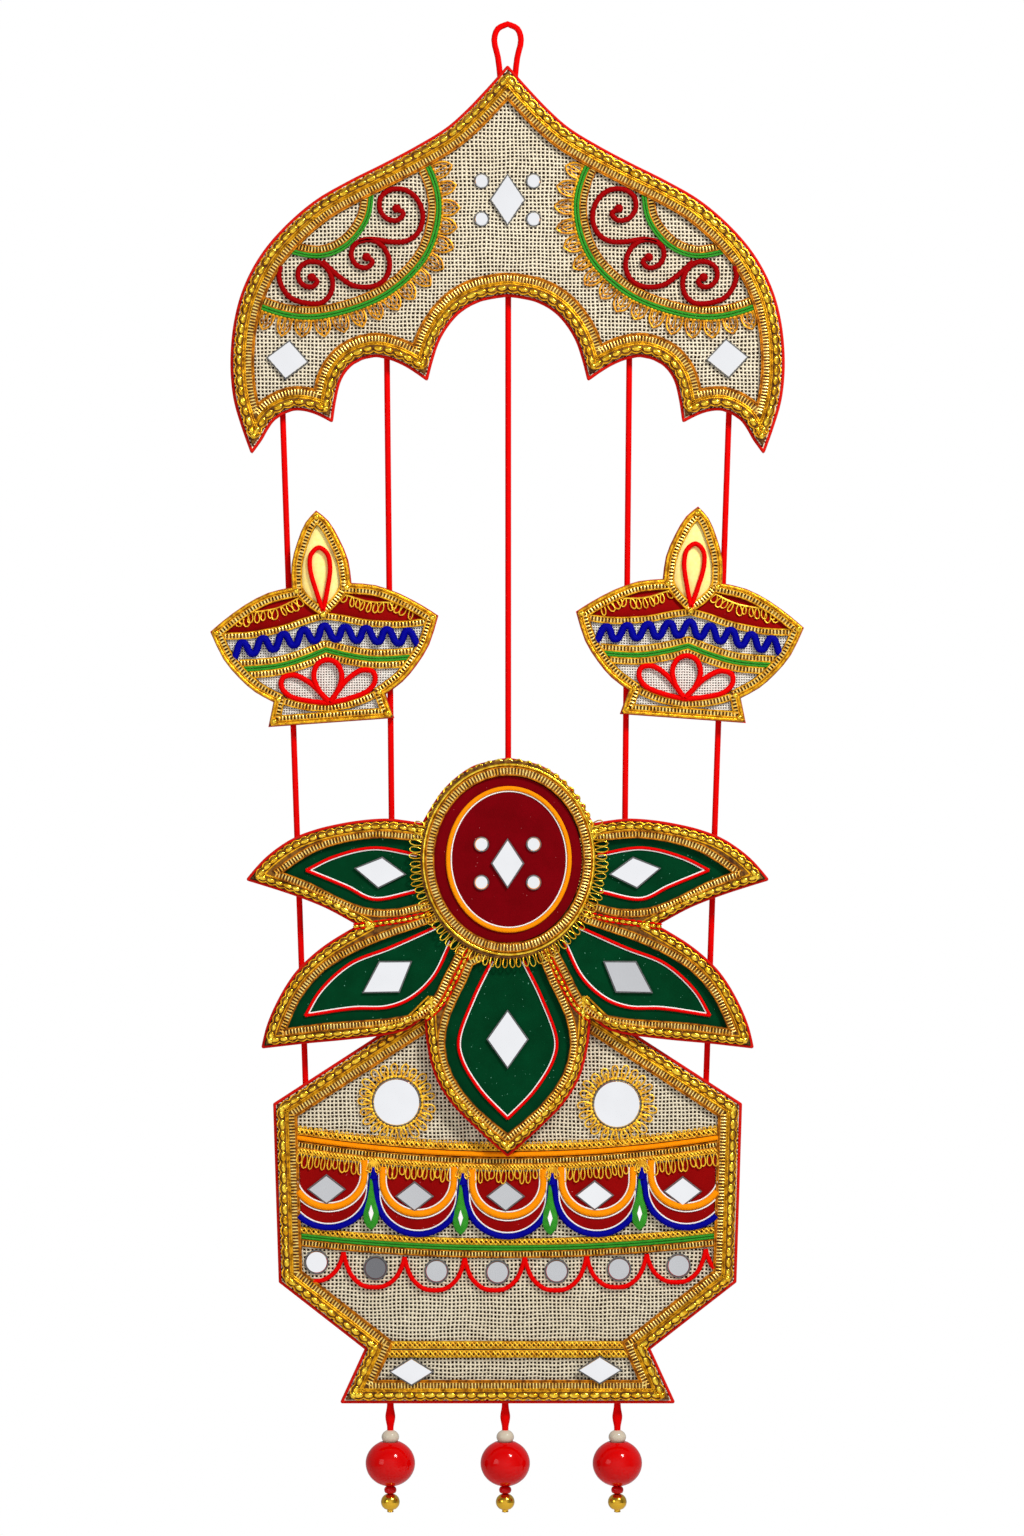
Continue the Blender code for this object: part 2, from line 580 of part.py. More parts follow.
def sagging(band, count, half=BAND_REACH):
    """A line across the pot that is lowest at the middle."""
    x = np.linspace(-half, half, count)
    return np.column_stack([x, band["middle"] + band["rise"] * (x / BAND_HALF) ** 2])


def valance_line():
    """Five joined scallops: the top edge follows the top band, and each scallop hangs to the mid band."""
    top = sagging(TOP_BAND, 13, SCALLOP["pitch"] * SCALLOP["count"] / 2) - (0, TOP_BAND["below"] + GAP)
    line = [tuple(p) for p in top[::-1]]
    for k in range(SCALLOP["count"]):
        middle = (k - (SCALLOP["count"] - 1) / 2) * SCALLOP["pitch"]
        low = MID_BAND["middle"] + MID_BAND["rise"] * (middle / BAND_HALF) ** 2 + MID_BAND["above"] + GAP
        for turn in np.linspace(pi, 2 * pi, 11):
            line.append((middle + SCALLOP["half"] * cos(turn), low + SCALLOP["round"] * (1 + sin(turn))))
        if k < SCALLOP["count"] - 1:
            x = middle + SCALLOP["pitch"] / 2
            line.append((x, TOP_BAND["middle"] + TOP_BAND["rise"] * (x / BAND_HALF) ** 2 - SCALLOP["cusp"]))
    return np.array(line)


def make_pot():
    outline = both_halves(POT_SIDES, round_top=True, round_bottom=True)
    slab("pot_board", loop(outline), PANEL_BACK, BOARD, "red_cloth")
    slab("pot_jute", loop(inset(outline, RED_RIM * 0.6)), FACE_BACK, CLOTH, "jute")
    profile = shifted_profile(braid_profile(BRAID_WIDTH, BRAID), RED_RIM)
    frame_band("pot_braid", outline, profile, TRIM_BACK, "gold_braid")
    room = as_cutter(slab("pot_room", loop(inset(outline, RED_RIM + BRAID_WIDTH + INNER_GAP)), 0, ROOM_DEPTH, None))
    for name, band in (("pot_top_band", TOP_BAND), ("pot_mid_band", MID_BAND)):
        cut_with(strip(name, sagging(band, 17), -band["below"], band["above"], TRIM_BACK, POT_BAND, "gold_lace"),
                 room, "INTERSECT")
    cut_with(slab("pot_valance", valance_line(), TRIM_BACK, CLOTH, "maroon_velvet"), room, "INTERSECT")
    high, low = WAIST
    waist = np.array([(-BAND_HALF, low), (BAND_HALF, low), (BAND_HALF, high), (-BAND_HALF, high)])
    cut_with(slab("pot_waist_braid", waist, TRIM_BACK, LADDER_HEIGHT, "gold_braid"), room, "INTERSECT")
    for side, centre in ROUND_MIRRORS.items():
        slab("pot_mirror_" + side, circle(centre, ROUND_MIRROR), TRIM_BACK, MIRROR, "mirror")
    on_braids = TRIM_BACK - LADDER_HEIGHT - GAP
    for side, centre in FOOT_MIRRORS.items():
        slab("pot_foot_mirror_" + side, diamond(centre, FOOT_DIAMOND), on_braids, MIRROR, "mirror")


def bead_outline(bead, count):
    """Half an ellipse, closed by a small flat at each end."""
    turn = np.linspace(BEAD_FLAT, pi - BEAD_FLAT, count)
    return [(bead["radius"] * sin(t), bead["z"] + bead["half"] * cos(t)) for t in turn]


def make_drop(side, x):
    turned("drop_cord_" + side, x, DROP_CORD, "red_cord", 10)
    turned("drop_pearl_" + side, x, bead_outline(PEARL, 6), "pearl", 12)
    round_part = [(r, z) for r, z in bead_outline(BALL, 12) if z < BALL["z"] or r > BALL["dimple"]]
    dimple = [(1.5, BALL["dimple_z"]), (BALL["dimple"] * 0.75, BALL["dimple_z"] + 0.8)]
    turned("drop_ball_" + side, x, dimple + round_part, "red_bead", 20)
    turned("drop_tail_" + side, x, TAIL, "gold_bead", 12)


def main():
    clear_scene()
    make_loop_and_cords()
    make_arch()
    for side, (centre, lean) in LAMPS.items():
        make_lamp(side, centre, lean)
    make_lotus()
    make_pot()
    for side, x in DROP_X.items():
        make_drop(side, x)


main()
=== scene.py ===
# %% [markdown]
# # Mirror work wall hanging
# The real thing is four kinds of stiff panel, an arch, two oil lamps, a lotus and a pot, each a card or thin board
# covered with cloth and trimmed with metallic braid, cords, velvet and small mirror pieces. Red satin cords join
# them. The frame gives every panel its true place, and this lesson dresses it, one piece after another.

# %% Load the frame
from math import cos, pi, radians, sin

import bmesh
import bpy
import numpy as np
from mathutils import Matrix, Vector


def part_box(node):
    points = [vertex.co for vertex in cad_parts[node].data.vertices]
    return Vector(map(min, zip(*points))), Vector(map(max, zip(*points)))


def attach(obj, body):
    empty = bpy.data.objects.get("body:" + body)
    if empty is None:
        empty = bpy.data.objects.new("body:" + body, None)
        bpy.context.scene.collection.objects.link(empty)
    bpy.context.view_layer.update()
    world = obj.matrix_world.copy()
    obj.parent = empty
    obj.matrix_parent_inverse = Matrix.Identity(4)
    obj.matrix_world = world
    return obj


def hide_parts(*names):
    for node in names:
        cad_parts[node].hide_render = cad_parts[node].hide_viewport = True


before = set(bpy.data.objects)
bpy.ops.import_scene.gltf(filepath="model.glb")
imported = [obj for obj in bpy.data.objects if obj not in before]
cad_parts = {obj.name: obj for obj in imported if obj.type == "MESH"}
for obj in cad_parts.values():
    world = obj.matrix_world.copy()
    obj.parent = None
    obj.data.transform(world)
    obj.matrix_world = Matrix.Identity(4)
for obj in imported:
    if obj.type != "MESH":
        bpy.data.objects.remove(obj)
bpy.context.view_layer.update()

# %% [markdown]
# ## Measures
# The panels are flat, so nearly every piece is drawn as a line in the X, Z plane in millimetres, and then given a
# depth. The depths come from the frame: a trim lies on the jute or velvet that it is sewn to.

# %% Depths of the faces
MM = 0.001
rng = np.random.default_rng(7)


def front_of(node):
    """The depth of a node's front, in millimetres. The front faces -Y."""
    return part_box(node)[0].y / MM


JUTE = front_of("arch_jute")
BRAID_TOP = front_of("arch_braid")
VELVET = front_of("lotus_velvet")
LOTUS_TOP = front_of("lotus_braid")
DISC = front_of("lotus_disc")
RING_TOP = front_of("lotus_disc_ring")
print("jute", JUTE, "braid", BRAID_TOP, "velvet", VELVET, "disc", DISC)

# %% [markdown]
# ## Lines
# A braid follows the edge of its panel. Its line is read from the frame's own board: the open edge of the front
# face, cut into sides where it turns sharply, and smoothed between the corners. Moving every side inward and
# cutting it where it meets its neighbour gives the mitred corners that a maker folds.


# %% Curves in the plane
def smooth(places, step=1.2):
    """A centripetal Catmull-Rom curve through the places, with a point about every step."""
    p = np.array(places, float)
    if len(p) < 3:
        return evenly(p, max(2, int(np.linalg.norm(p[-1] - p[0]) / step)))
    p = np.vstack([2 * p[0] - p[1], p, 2 * p[-1] - p[-2]])
    out = [p[1]]
    for a, b, c, d in zip(p, p[1:], p[2:], p[3:]):
        t1 = np.linalg.norm(b - a) ** 0.5
        t2 = t1 + np.linalg.norm(c - b) ** 0.5
        t3 = t2 + np.linalg.norm(d - c) ** 0.5
        count = max(1, int(np.linalg.norm(c - b) / step))
        for t in np.linspace(t1, t2, count + 1)[1:]:
            ab = (a * (t1 - t) + b * t) / t1
            bc = (b * (t2 - t) + c * (t - t1)) / (t2 - t1)
            cd = (c * (t3 - t) + d * (t - t2)) / (t3 - t2)
            abc = (ab * (t2 - t) + bc * t) / t2
            bcd = (bc * (t3 - t) + cd * (t - t1)) / (t3 - t1)
            out.append((abc * (t2 - t) + bcd * (t - t1)) / (t2 - t1))
    return np.array(out)


def length_along(line):
    return np.concatenate([[0], np.cumsum(np.linalg.norm(np.diff(line, axis=0), axis=1))])


def evenly(line, count):
    """The same line with count points at even distances."""
    line = np.asarray(line, float)
    run = length_along(line)
    wanted = np.linspace(0, run[-1], count)
    return np.column_stack([np.interp(wanted, run, line[:, k]) for k in range(line.shape[1])])


def normals(line):
    """Unit normals to the left of the line's direction."""
    run = np.gradient(line, axis=0)
    run /= np.linalg.norm(run, axis=1)[:, None] + 1e-12
    return np.column_stack([-run[:, 1], run[:, 0]])


def shift(line, distance):
    return line + normals(line) * np.broadcast_to(distance, len(line))[:, None]


# %% Outlines from the frame
def open_edges(node):
    """The closed edges of a node's front face, each as points (x, z) in millimetres, anticlockwise outside."""
    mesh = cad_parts[node].data
    bm = bmesh.new()
    bm.from_mesh(mesh)
    bmesh.ops.remove_doubles(bm, verts=bm.verts, dist=1e-6)
    depth = min(v.co.y for v in bm.verts)
    after = {}
    for face in bm.faces:
        if max(v.co.y for v in face.verts) - depth > 1e-6:
            continue
        for piece in face.loops:
            beside = [f for f in piece.edge.link_faces if f is not face]
            if beside and max(v.co.y for v in beside[0].verts) - depth > 1e-6:
                after[piece.vert.index] = piece.link_loop_next.vert.index
    place = {v.index: (v.co.x / MM, v.co.z / MM) for v in bm.verts}
    bm.free()
    lines = []
    while after:
        first, spot = next(iter(after.items()))
        chain = [first]
        del after[first]
        while spot != first:
            chain.append(spot)
            spot = after.pop(spot)
        lines.append(np.array([place[k] for k in chain]))
    return lines


def area_of(line):
    x, z = line[:, 0], line[:, 1]
    return 0.5 * float(np.sum(x * np.roll(z, -1) - z * np.roll(x, -1)))


SHARP = 24                         # degrees of turn that make a corner


def sides_of(line):
    """Cuts a closed line at its sharp corners and smooths each side."""
    if area_of(line) < 0:
        line = line[::-1]
    count = len(line)
    into = line - np.roll(line, 1, axis=0)
    out = np.roll(line, -1, axis=0) - line
    turn = np.degrees(np.arctan2(into[:, 0] * out[:, 1] - into[:, 1] * out[:, 0], (into * out).sum(1)))
    corners = [k for k in range(count) if abs(turn[k]) > SHARP]
    if not corners:
        return [smooth(np.vstack([line, line[:1]]))]
    sides = []
    for a, b in zip(corners, corners[1:] + [corners[0] + count]):
        sides.append(smooth(np.array([line[k % count] for k in range(a, b + 1)])))
    return sides


def crossing(first, second, near):
    """Where two lines cross, nearest to a place."""
    a, b = first[:-1, None], first[1:, None]
    c, d = second[None, :-1], second[None, 1:]
    r, s, between = b - a, d - c, c - a
    turn = r[..., 0] * s[..., 1] - r[..., 1] * s[..., 0]
    turn = np.where(abs(turn) < 1e-12, 1e-12, turn)
    t = (between[..., 0] * s[..., 1] - between[..., 1] * s[..., 0]) / turn
    u = (between[..., 0] * r[..., 1] - between[..., 1] * r[..., 0]) / turn
    rows, columns = np.nonzero((t >= 0) & (t <= 1) & (u >= 0) & (u <= 1))
    if not len(rows):
        return None
    places = first[rows] + t[rows, columns][:, None] * (first[rows + 1] - first[rows])
    return places[np.argmin(np.linalg.norm(places - near, axis=1))]


def cut_between(line, start, end):
    low = np.argmin(np.linalg.norm(line - start, axis=1))
    high = np.argmin(np.linalg.norm(line - end, axis=1))
    return np.vstack([start, line[low + 1:high], end]) if high > low + 1 else np.array([start, end])


CORNER_REACH = 6                   # a moved side is lengthened by this many times its move, to find its corner


def lengthened(line, reach):
    """A line with a straight piece added at each end."""
    head, tail = line[0] - line[1], line[-1] - line[-2]
    return np.vstack([line[0] + head / np.linalg.norm(head) * reach, line,
                      line[-1] + tail / np.linalg.norm(tail) * reach])


def inset(sides, distance):
    """Every side moved inward and cut or lengthened to meet its neighbours, as a folded braid does."""
    if len(sides) == 1:
        return [shift(sides[0], distance)]
    moved = [lengthened(shift(side, distance), CORNER_REACH * abs(distance)) for side in sides]
    ends = []
    for k, side in enumerate(sides):
        found = crossing(moved[k - 1], moved[k], side[0])
        ends.append(side[0] if found is None else found)
    return [cut_between(evenly(line, max(8, int(length_along(line)[-1]))), ends[k], ends[(k + 1) % len(sides)])
            for k, line in enumerate(moved)]


ARCH = sides_of(open_edges("arch_board")[0])
POT = sides_of(open_edges("pot_board")[0])
LOTUS = sides_of(open_edges("lotus_board")[0])
LAMP = sides_of(open_edges("lamp_board_left")[0])
windows = sorted(open_edges("lotus_braid"), key=lambda line: -abs(area_of(line)))[1:]
print("sides", len(ARCH), len(POT), len(LOTUS), len(LAMP), "windows", len(windows))

# %% [markdown]
# ## Thread work
# Braid, lace and cord are all threads. One pile gathers many small threads, beads and patches into a single mesh,
# which keeps the scene light. A thread is a tube along a line, a puffy bead is a small stretched ball, and a ladder
# rung is a short bowed bar across the braid.


# %% A pile of small forms
class Pile:
    """Gathers points in millimetres and faces, to be made into one mesh."""

    def __init__(self):
        self.points = []
        self.faces = []
        self.count = 0

    def add(self, points, faces):
        self.points.append(np.asarray(points, float))
        self.faces.extend([tuple(int(k) + self.count for k in face) for face in faces])
        self.count += len(points)


def piles(count):
    return [Pile() for _ in range(count)]


def grid_faces(rows, columns, wrap_rows=False):
    """Faces between rows of points, where each row is a closed ring."""
    faces = []
    for r in range(rows if wrap_rows else rows - 1):
        a, b = r * columns, ((r + 1) % rows) * columns
        faces += [(a + k, a + (k + 1) % columns, b + (k + 1) % columns, b + k) for k in range(columns)]
    return faces


def raised(line, depth):
    """A line in the panel's plane at a depth, which may change along it."""
    line = np.asarray(line, float)
    return np.column_stack([line[:, 0], np.broadcast_to(depth, len(line)), line[:, 1]])


def thread(pile, line, depth, radius, sides=6, closed=False, flat=1.0):
    """A tube along a line in the panel's plane, at a depth. flat under 1 presses it toward the panel."""
    line = raised(line, depth)
    radius = np.broadcast_to(radius, len(line))
    if closed:
        run = np.roll(line, -1, axis=0) - np.roll(line, 1, axis=0)
    else:
        run = np.gradient(line, axis=0)
    run /= np.linalg.norm(run, axis=1)[:, None] + 1e-12
    side = np.cross(run, (0, 1, 0))
    side /= np.linalg.norm(side, axis=1)[:, None] + 1e-12
    up = np.cross(side, run) * flat
    turn = 2 * pi * np.arange(sides) / sides
    ring = side[:, None] * np.cos(turn)[None, :, None] + up[:, None] * np.sin(turn)[None, :, None]
    points = (line[:, None] + ring * radius[:, None, None]).reshape(-1, 3)
    faces = grid_faces(len(line), sides, closed)
    if not closed:
        last = (len(line) - 1) * sides
        faces += [tuple(range(sides))[::-1], tuple(range(last, last + sides))]
    pile.add(points, faces)


def ball(pile, place, depth, along, size, rings=5, sides=8):
    """A bead stretched along a direction in the panel's plane. Its size is length, width and height."""
    centre = np.array([place[0], depth, place[1]])
    length, width, height = size
    along = np.array([along[0], 0, along[1]])
    across = np.array([-along[2], 0, along[0]])
    out = np.array([0, -1.0, 0])
    lift = np.linspace(0, pi, rings + 2)[1:-1]
    turn = 2 * pi * np.arange(sides) / sides
    points = [centre - along * length / 2]
    for t in lift:
        ring = across * np.cos(turn)[:, None] * width / 2 + out * np.sin(turn)[:, None] * height / 2
        points += list(centre - along * cos(t) * length / 2 + ring * sin(t))
    points.append(centre + along * length / 2)
    last = len(points) - 1
    faces = [(0, 1 + (k + 1) % sides, 1 + k) for k in range(sides)]
    faces += [tuple(k + 1 for k in face) for face in grid_faces(rings, sides)]
    faces += [(last, last - sides + k, last - sides + (k + 1) % sides) for k in range(sides)]
    pile.add(points, faces)


BEAD_UNEVEN = 0.12                 # share by which a bead's size may differ
BEAD_FILL = 0.98                   # a bead's length, as a share of the pitch


def stations(line, pitch):
    """Places and directions along a line at an even pitch."""
    count = max(2, int(round(length_along(line)[-1] / pitch)) + 1)
    even = evenly(line, count)
    middle = (even[:-1] + even[1:]) / 2
    run = np.diff(even, axis=0)
    return middle, run / (np.linalg.norm(run, axis=1)[:, None] + 1e-12)


def bead_row(pile, line, depth, pitch, width, height):
    """Puffy metallic beads, one after another along a line."""
    for place, run in zip(*stations(line, pitch)):
        grow = 1 + BEAD_UNEVEN * (rng.random(3) - 0.5) * 2
        ball(pile, place, depth, run, np.array([pitch * BEAD_FILL, width, height]) * grow)


def rung_row(pile, line, depth, pitch, width, radius, bow=0.5, lean=0.0):
    """Short bowed threads across a braid."""
    for place, run in zip(*stations(line, pitch)):
        across = np.array([-run[1], run[0]]) + run * (lean + 0.12 * (rng.random() - 0.5))
        steps = np.linspace(-0.5, 0.5, 4)
        points = place + across * (steps * width)[:, None]
        thread(pile, points, depth - bow * (1 - (2 * steps) ** 2), radius, 5)


def scalloped(pile, line, depth, pitch, reach, radius):
    """A thread that bows outward between stitches, as along the rim of the rope braid."""
    run = length_along(line)[-1]
    count = max(1, int(round(run / pitch)))
    even = evenly(line, count * 6 + 1)
    wave = np.abs(np.sin(np.linspace(0, count * pi, len(even))))
    thread(pile, shift(even, -reach * wave), depth, radius, 5)


LOOP_POINTS = 11


def loop_row(pile, line, depth, pitch, reach, width, radius, side=1, jitter=0.12):
    """Open loops of thread that stand out to one side of a line, each crossing itself a little at its foot."""
    for place, run in zip(*stations(line, pitch)):
        away = np.array([-run[1], run[0]]) * side
        size = 1 + jitter * (rng.random(2) - 0.5) * 2
        slant = run * (rng.random() - 0.5) * width * jitter * 3
        t = np.linspace(0.08 * pi, 1.92 * pi, LOOP_POINTS)
        out = (1 - np.cos(t)) / 2 * reach * size[0]
        wide = -np.sin(t) * (0.45 + 0.55 * (1 - np.cos(t)) / 2) * width / 2 * size[1]
        line_of = place + away * out[:, None] + run * wide[:, None] + slant * (out / reach)[:, None]
        thread(pile, line_of, depth - 0.25 * np.sin(t / 2), radius, 5)


def patch(pile, line, back, front, bevel=0.25):
    """A flat piece of cloth or mirror with a softened front edge, from a closed line."""
    line = np.asarray(line, float)
    if area_of(line) < 0:
        line = line[::-1]
    closed = np.vstack([line[-1:], line, line[:1]])
    inner = shift(closed, bevel)[1:-1]
    rows = [raised(line, back), raised(line, front + bevel), raised(inner, front)]
    count = len(line)
    faces = grid_faces(3, count)
    faces += [tuple(range(count))[::-1], tuple(range(2 * count, 3 * count))]
    pile.add(np.vstack(rows), faces)


def piece(name, pile, material, slot, replaces=(), smooth_below=50):
    """Makes a pile into an object that rides with the frame."""
    mesh = bpy.data.meshes.new(name)
    mesh.from_pydata((np.vstack(pile.points) * MM).tolist(), [], pile.faces)
    mesh.validate()
    bm = bmesh.new()
    bm.from_mesh(mesh)
    bmesh.ops.recalc_face_normals(bm, faces=bm.faces)
    bm.to_mesh(mesh)
    bm.free()
    mesh.shade_smooth()
    mesh.set_sharp_from_angle(angle=radians(smooth_below))
    mesh.materials.append(material)
    obj = bpy.data.objects.new(name, mesh)
    bpy.context.collection.objects.link(obj)
    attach(obj, "root")
    if replaces:
        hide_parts(*replaces)
    print(name, sum(len(face) - 2 for face in pile.faces), "triangles")


# %% [markdown]
# ## Camera, light and floor
# The photo is taken straight on from far away, so a long lens stands in front of the middle of the picture. A pale
# world lights everything softly, and its darker bands give the metal threads and mirrors something to reflect.
# A soft lamp above on the right gives the relief its small shadows, and a wide weak one on the left fills them.

# %% Camera
PHOTO_MIDDLE = (2.2, -371.5)       # millimetres from the hanging loop
PHOTO_HEIGHT = 768.0
CAMERA_DISTANCE = 2600.0
SENSOR_HEIGHT = 24.0

camera_data = bpy.data.cameras.new("camera")
camera_data.sensor_fit = "VERTICAL"
camera_data.sensor_height = SENSOR_HEIGHT
camera_data.lens = SENSOR_HEIGHT * CAMERA_DISTANCE / PHOTO_HEIGHT
camera = bpy.data.objects.new("camera", camera_data)
bpy.context.collection.objects.link(camera)
camera.location = (PHOTO_MIDDLE[0] * MM, (JUTE - CAMERA_DISTANCE) * MM, PHOTO_MIDDLE[1] * MM)
camera.rotation_euler = (radians(90), 0, 0)
bpy.context.scene.camera = camera
bpy.context.scene.view_settings.view_transform = "Standard"
print("lens", round(camera_data.lens, 1), "mm")


# %% Materials by short recipes
class Recipe:
    """A node tree written as short calls. Every value given as a number is set on the socket itself."""

    def __init__(self, name, data=None, shader="Principled BSDF"):
        self.data = data or bpy.data.materials.new(name)
        self.data.use_nodes = True
        self.tree = self.data.node_tree
        self.shader = self.tree.nodes[shader]
        self.coordinates = self.add("ShaderNodeTexCoord").outputs
        self.place = self.coordinates["Object"]

    def add(self, kind, settings=None, **inputs):
        node = self.tree.nodes.new(kind)
        for key, value in (settings or {}).items():
            setattr(node, key, value)
        for key, value in inputs.items():
            self.put(node.inputs[int(key[1:]) if key[0] == "i" and key[1:].isdigit() else key], value)
        return node

    def put(self, socket, value):
        if isinstance(value, bpy.types.NodeSocket):
            self.tree.links.new(value, socket)
        elif socket.type == "RGBA" and len(value) == 3:
            socket.default_value = (*value, 1.0)
        else:
            socket.default_value = value

    def math(self, kind, a, b=0.0):
        return self.add("ShaderNodeMath", {"operation": kind}, i0=a, i1=b).outputs[0]

    def noise(self, scale, detail=2.0, rough=0.5, place=None):
        node = self.add("ShaderNodeTexNoise", Vector=place or self.place, Scale=scale, Detail=detail)
        node.inputs["Roughness"].default_value = rough
        return node.outputs["Fac"]

    def ramp(self, factor, *stops):
        node = self.add("ShaderNodeValToRGB", Fac=factor)
        marks = node.color_ramp.elements
        while len(marks) < len(stops):
            marks.new(0.5)
        for mark, (spot, colour) in zip(marks, stops):
            mark.position = spot
            mark.color = (*colour, 1.0)
        return node.outputs["Color"]

    def mix(self, factor, a, b):
        node = self.add("ShaderNodeMix", {"data_type": "RGBA"}, Factor=factor)
        first, second = [socket for socket in node.inputs if socket.type == "RGBA"]
        self.put(first, a)
        self.put(second, b)
        return [socket for socket in node.outputs if socket.type == "RGBA"][0]

    def bump(self, height, strength, distance):
        node = self.add("ShaderNodeBump", Height=height, Strength=strength)
        node.inputs["Distance"].default_value = distance
        self.put(self.shader.inputs["Normal"], node.outputs["Normal"])

    def set(self, **values):
        for key, value in values.items():
            self.put(self.shader.inputs[key.replace("_", " ")], value)
        return self.data


# %% World, lights and floor
WORLD_GREYS = ((0.0, 0.40), (0.45, 0.16), (0.80, 0.42), (0.93, 0.86), (1.0, 0.95))   # from behind to the front
bpy.context.scene.world = bpy.data.worlds.new("studio")
w = Recipe("studio", bpy.context.scene.world, "Background")
apart = w.add("ShaderNodeSeparateXYZ", Vector=w.coordinates["Generated"])
greys = w.ramp(w.math("MULTIPLY", apart.outputs["Y"], -1.0),
               *[(spot, (grey, grey, grey * 1.02)) for spot, grey in WORLD_GREYS])
camera_ray = w.add("ShaderNodeLightPath").outputs["Is Camera Ray"]
w.set(Color=w.mix(camera_ray, greys, (1.0, 1.0, 1.0)))

LIGHTS = (                         # name, place in metres, size in metres and power in watts
    ("key light", (0.8, -1.2, 0.8), 0.35, 34),
    ("fill light", (-1.4, -1.5, -0.2), 0.8, 6),
)
LIT_PLACE = (0, 0, -0.37)          # the middle of the hanging
for name, place, size, power in LIGHTS:
    data = bpy.data.lights.new(name, "AREA")
    data.size = size
    data.energy = power
    light = bpy.data.objects.new(name, data)
    bpy.context.collection.objects.link(light)
    light.location = place
    x, y, z = np.array(LIT_PLACE) - np.array(place)
    light.rotation_euler = (np.arctan2(np.hypot(x, y), -z), 0, np.arctan2(y, x) - pi / 2)

FLOOR_DEPTH = -1.0                 # metres
FLOOR_HALF = 1.4
floor_mesh = bpy.data.meshes.new("floor")
corners = [(-1, -1), (1, -1), (1, 1), (-1, 1)]
floor_mesh.from_pydata([(x * FLOOR_HALF, y * FLOOR_HALF, FLOOR_DEPTH) for x, y in corners], [], [(0, 1, 2, 3)])
floor_mesh.materials.append(Recipe("pale floor").set(Base_Color=(0.86, 0.86, 0.85), Roughness=0.7))
floor = bpy.data.objects.new("floor", floor_mesh)
bpy.context.collection.objects.link(floor)
print("lights", len(LIGHTS), "floor", FLOOR_DEPTH)

# %% [markdown]
# ## Finishes
# Cloth is never one flat colour. The jute is an open plain weave: thick pale threads over and under each other, with
# holes between them. It is worked out from the place on the panel: one wave for the upright threads, one for
# the crosswise threads, and a chequer that says which one is on top. Towards each thread's edge and in the holes the
# colour is darkened to near black: painted shade.

# %% Jute
JUTE_PITCH = 1.95                  # millimetres from thread to thread
FINE_PITCH = 1.3                   # on the lamps


def jute_material(name, pitch, cover, dark, light):
    r = Recipe(name)
    spot = r.add("ShaderNodeSeparateXYZ", Vector=r.place).outputs
    aside = r.add("ShaderNodeVectorMath", {"operation": "ADD"}, i0=r.place, i1=(3.1, 1.7, 0.4)).outputs[0]
    width = r.math("ADD", cover, r.math("MULTIPLY", r.noise(260.0, 2.0), 0.20))

    def count(axis, scale, place):
        """How many threads lie before a spot, with a little sway."""
        sway = r.math("MULTIPLY", r.math("SUBTRACT", r.noise(scale, 2.0, 0.5, place), 0.5), 1.5)
        return r.math("ADD", r.math("MULTIPLY", spot[axis], 1 / (pitch * MM)), sway)

    def rise(value):
        """Height of a thread's round back across it: one at its middle, none past its edge."""
        off = r.math("ABSOLUTE", r.math("SUBTRACT", r.math("FRACT", value), 0.5))
        share = r.math("DIVIDE", off, width)
        return r.math("MAXIMUM", r.math("SUBTRACT", 1.0, r.math("MULTIPLY", share, share)), 0.0)

    def woven(value, on_top):
        """A thread's height, lower where it passes under the other set."""
        return r.math("MULTIPLY", rise(value), r.math("ADD", 0.55, r.math("MULTIPLY", on_top, 0.45)))

    u, v = count("X", 55.0, r.place), count("Z", 43.0, aside)
    over = r.math("ABSOLUTE", r.math("MODULO", r.math("ADD", r.math("FLOOR", u), r.math("FLOOR", v)), 2.0))
    height = r.math("MAXIMUM", woven(u, over), woven(v, r.math("SUBTRACT", 1.0, over)))
    fibre = r.mix(r.noise(700.0, 3.0, 0.6), dark, light)
    patchy = r.mix(r.noise(24.0, 2.0), tuple(0.85 * value for value in light), fibre)
    # Painted shade: near black where a thread's height is low, at its edges and in the holes between threads.
    painted_edge_and_hole_shade = r.ramp(height, (0.0, (0, 0, 0)), (0.24, (1, 1, 1)))
    r.bump(height, 0.9, 0.0007)
    return r.set(Base_Color=r.mix(painted_edge_and_hole_shade, (0.016, 0.007, 0.002), patchy), Roughness=1.0, Specular_IOR_Level=0.1)


# %% [markdown]
# Metal thread is plastic film wound round a core. It is bright yellow where it catches the light and brown in its
# creases. Coarse noise mixes the two colours at random: the brown is painted crease shade. Fine noise roughens the
# surface, so that no two threads match.


# %% Metallic threads, cords and cloth
def metal_thread(name, light, dark, rough, metal, strength=0.5):
    r = Recipe(name)
    # The dark colour is painted crease shade, laid by coarse noise.
    colour = r.ramp(r.noise(320.0, 3.0, 0.6), (0.38, dark), (0.60, light))
    r.bump(r.noise(2600.0, 2.0), strength, 0.0003)
    return r.set(Base_Color=colour, Roughness=rough, Metallic=metal, Specular_IOR_Level=0.2)


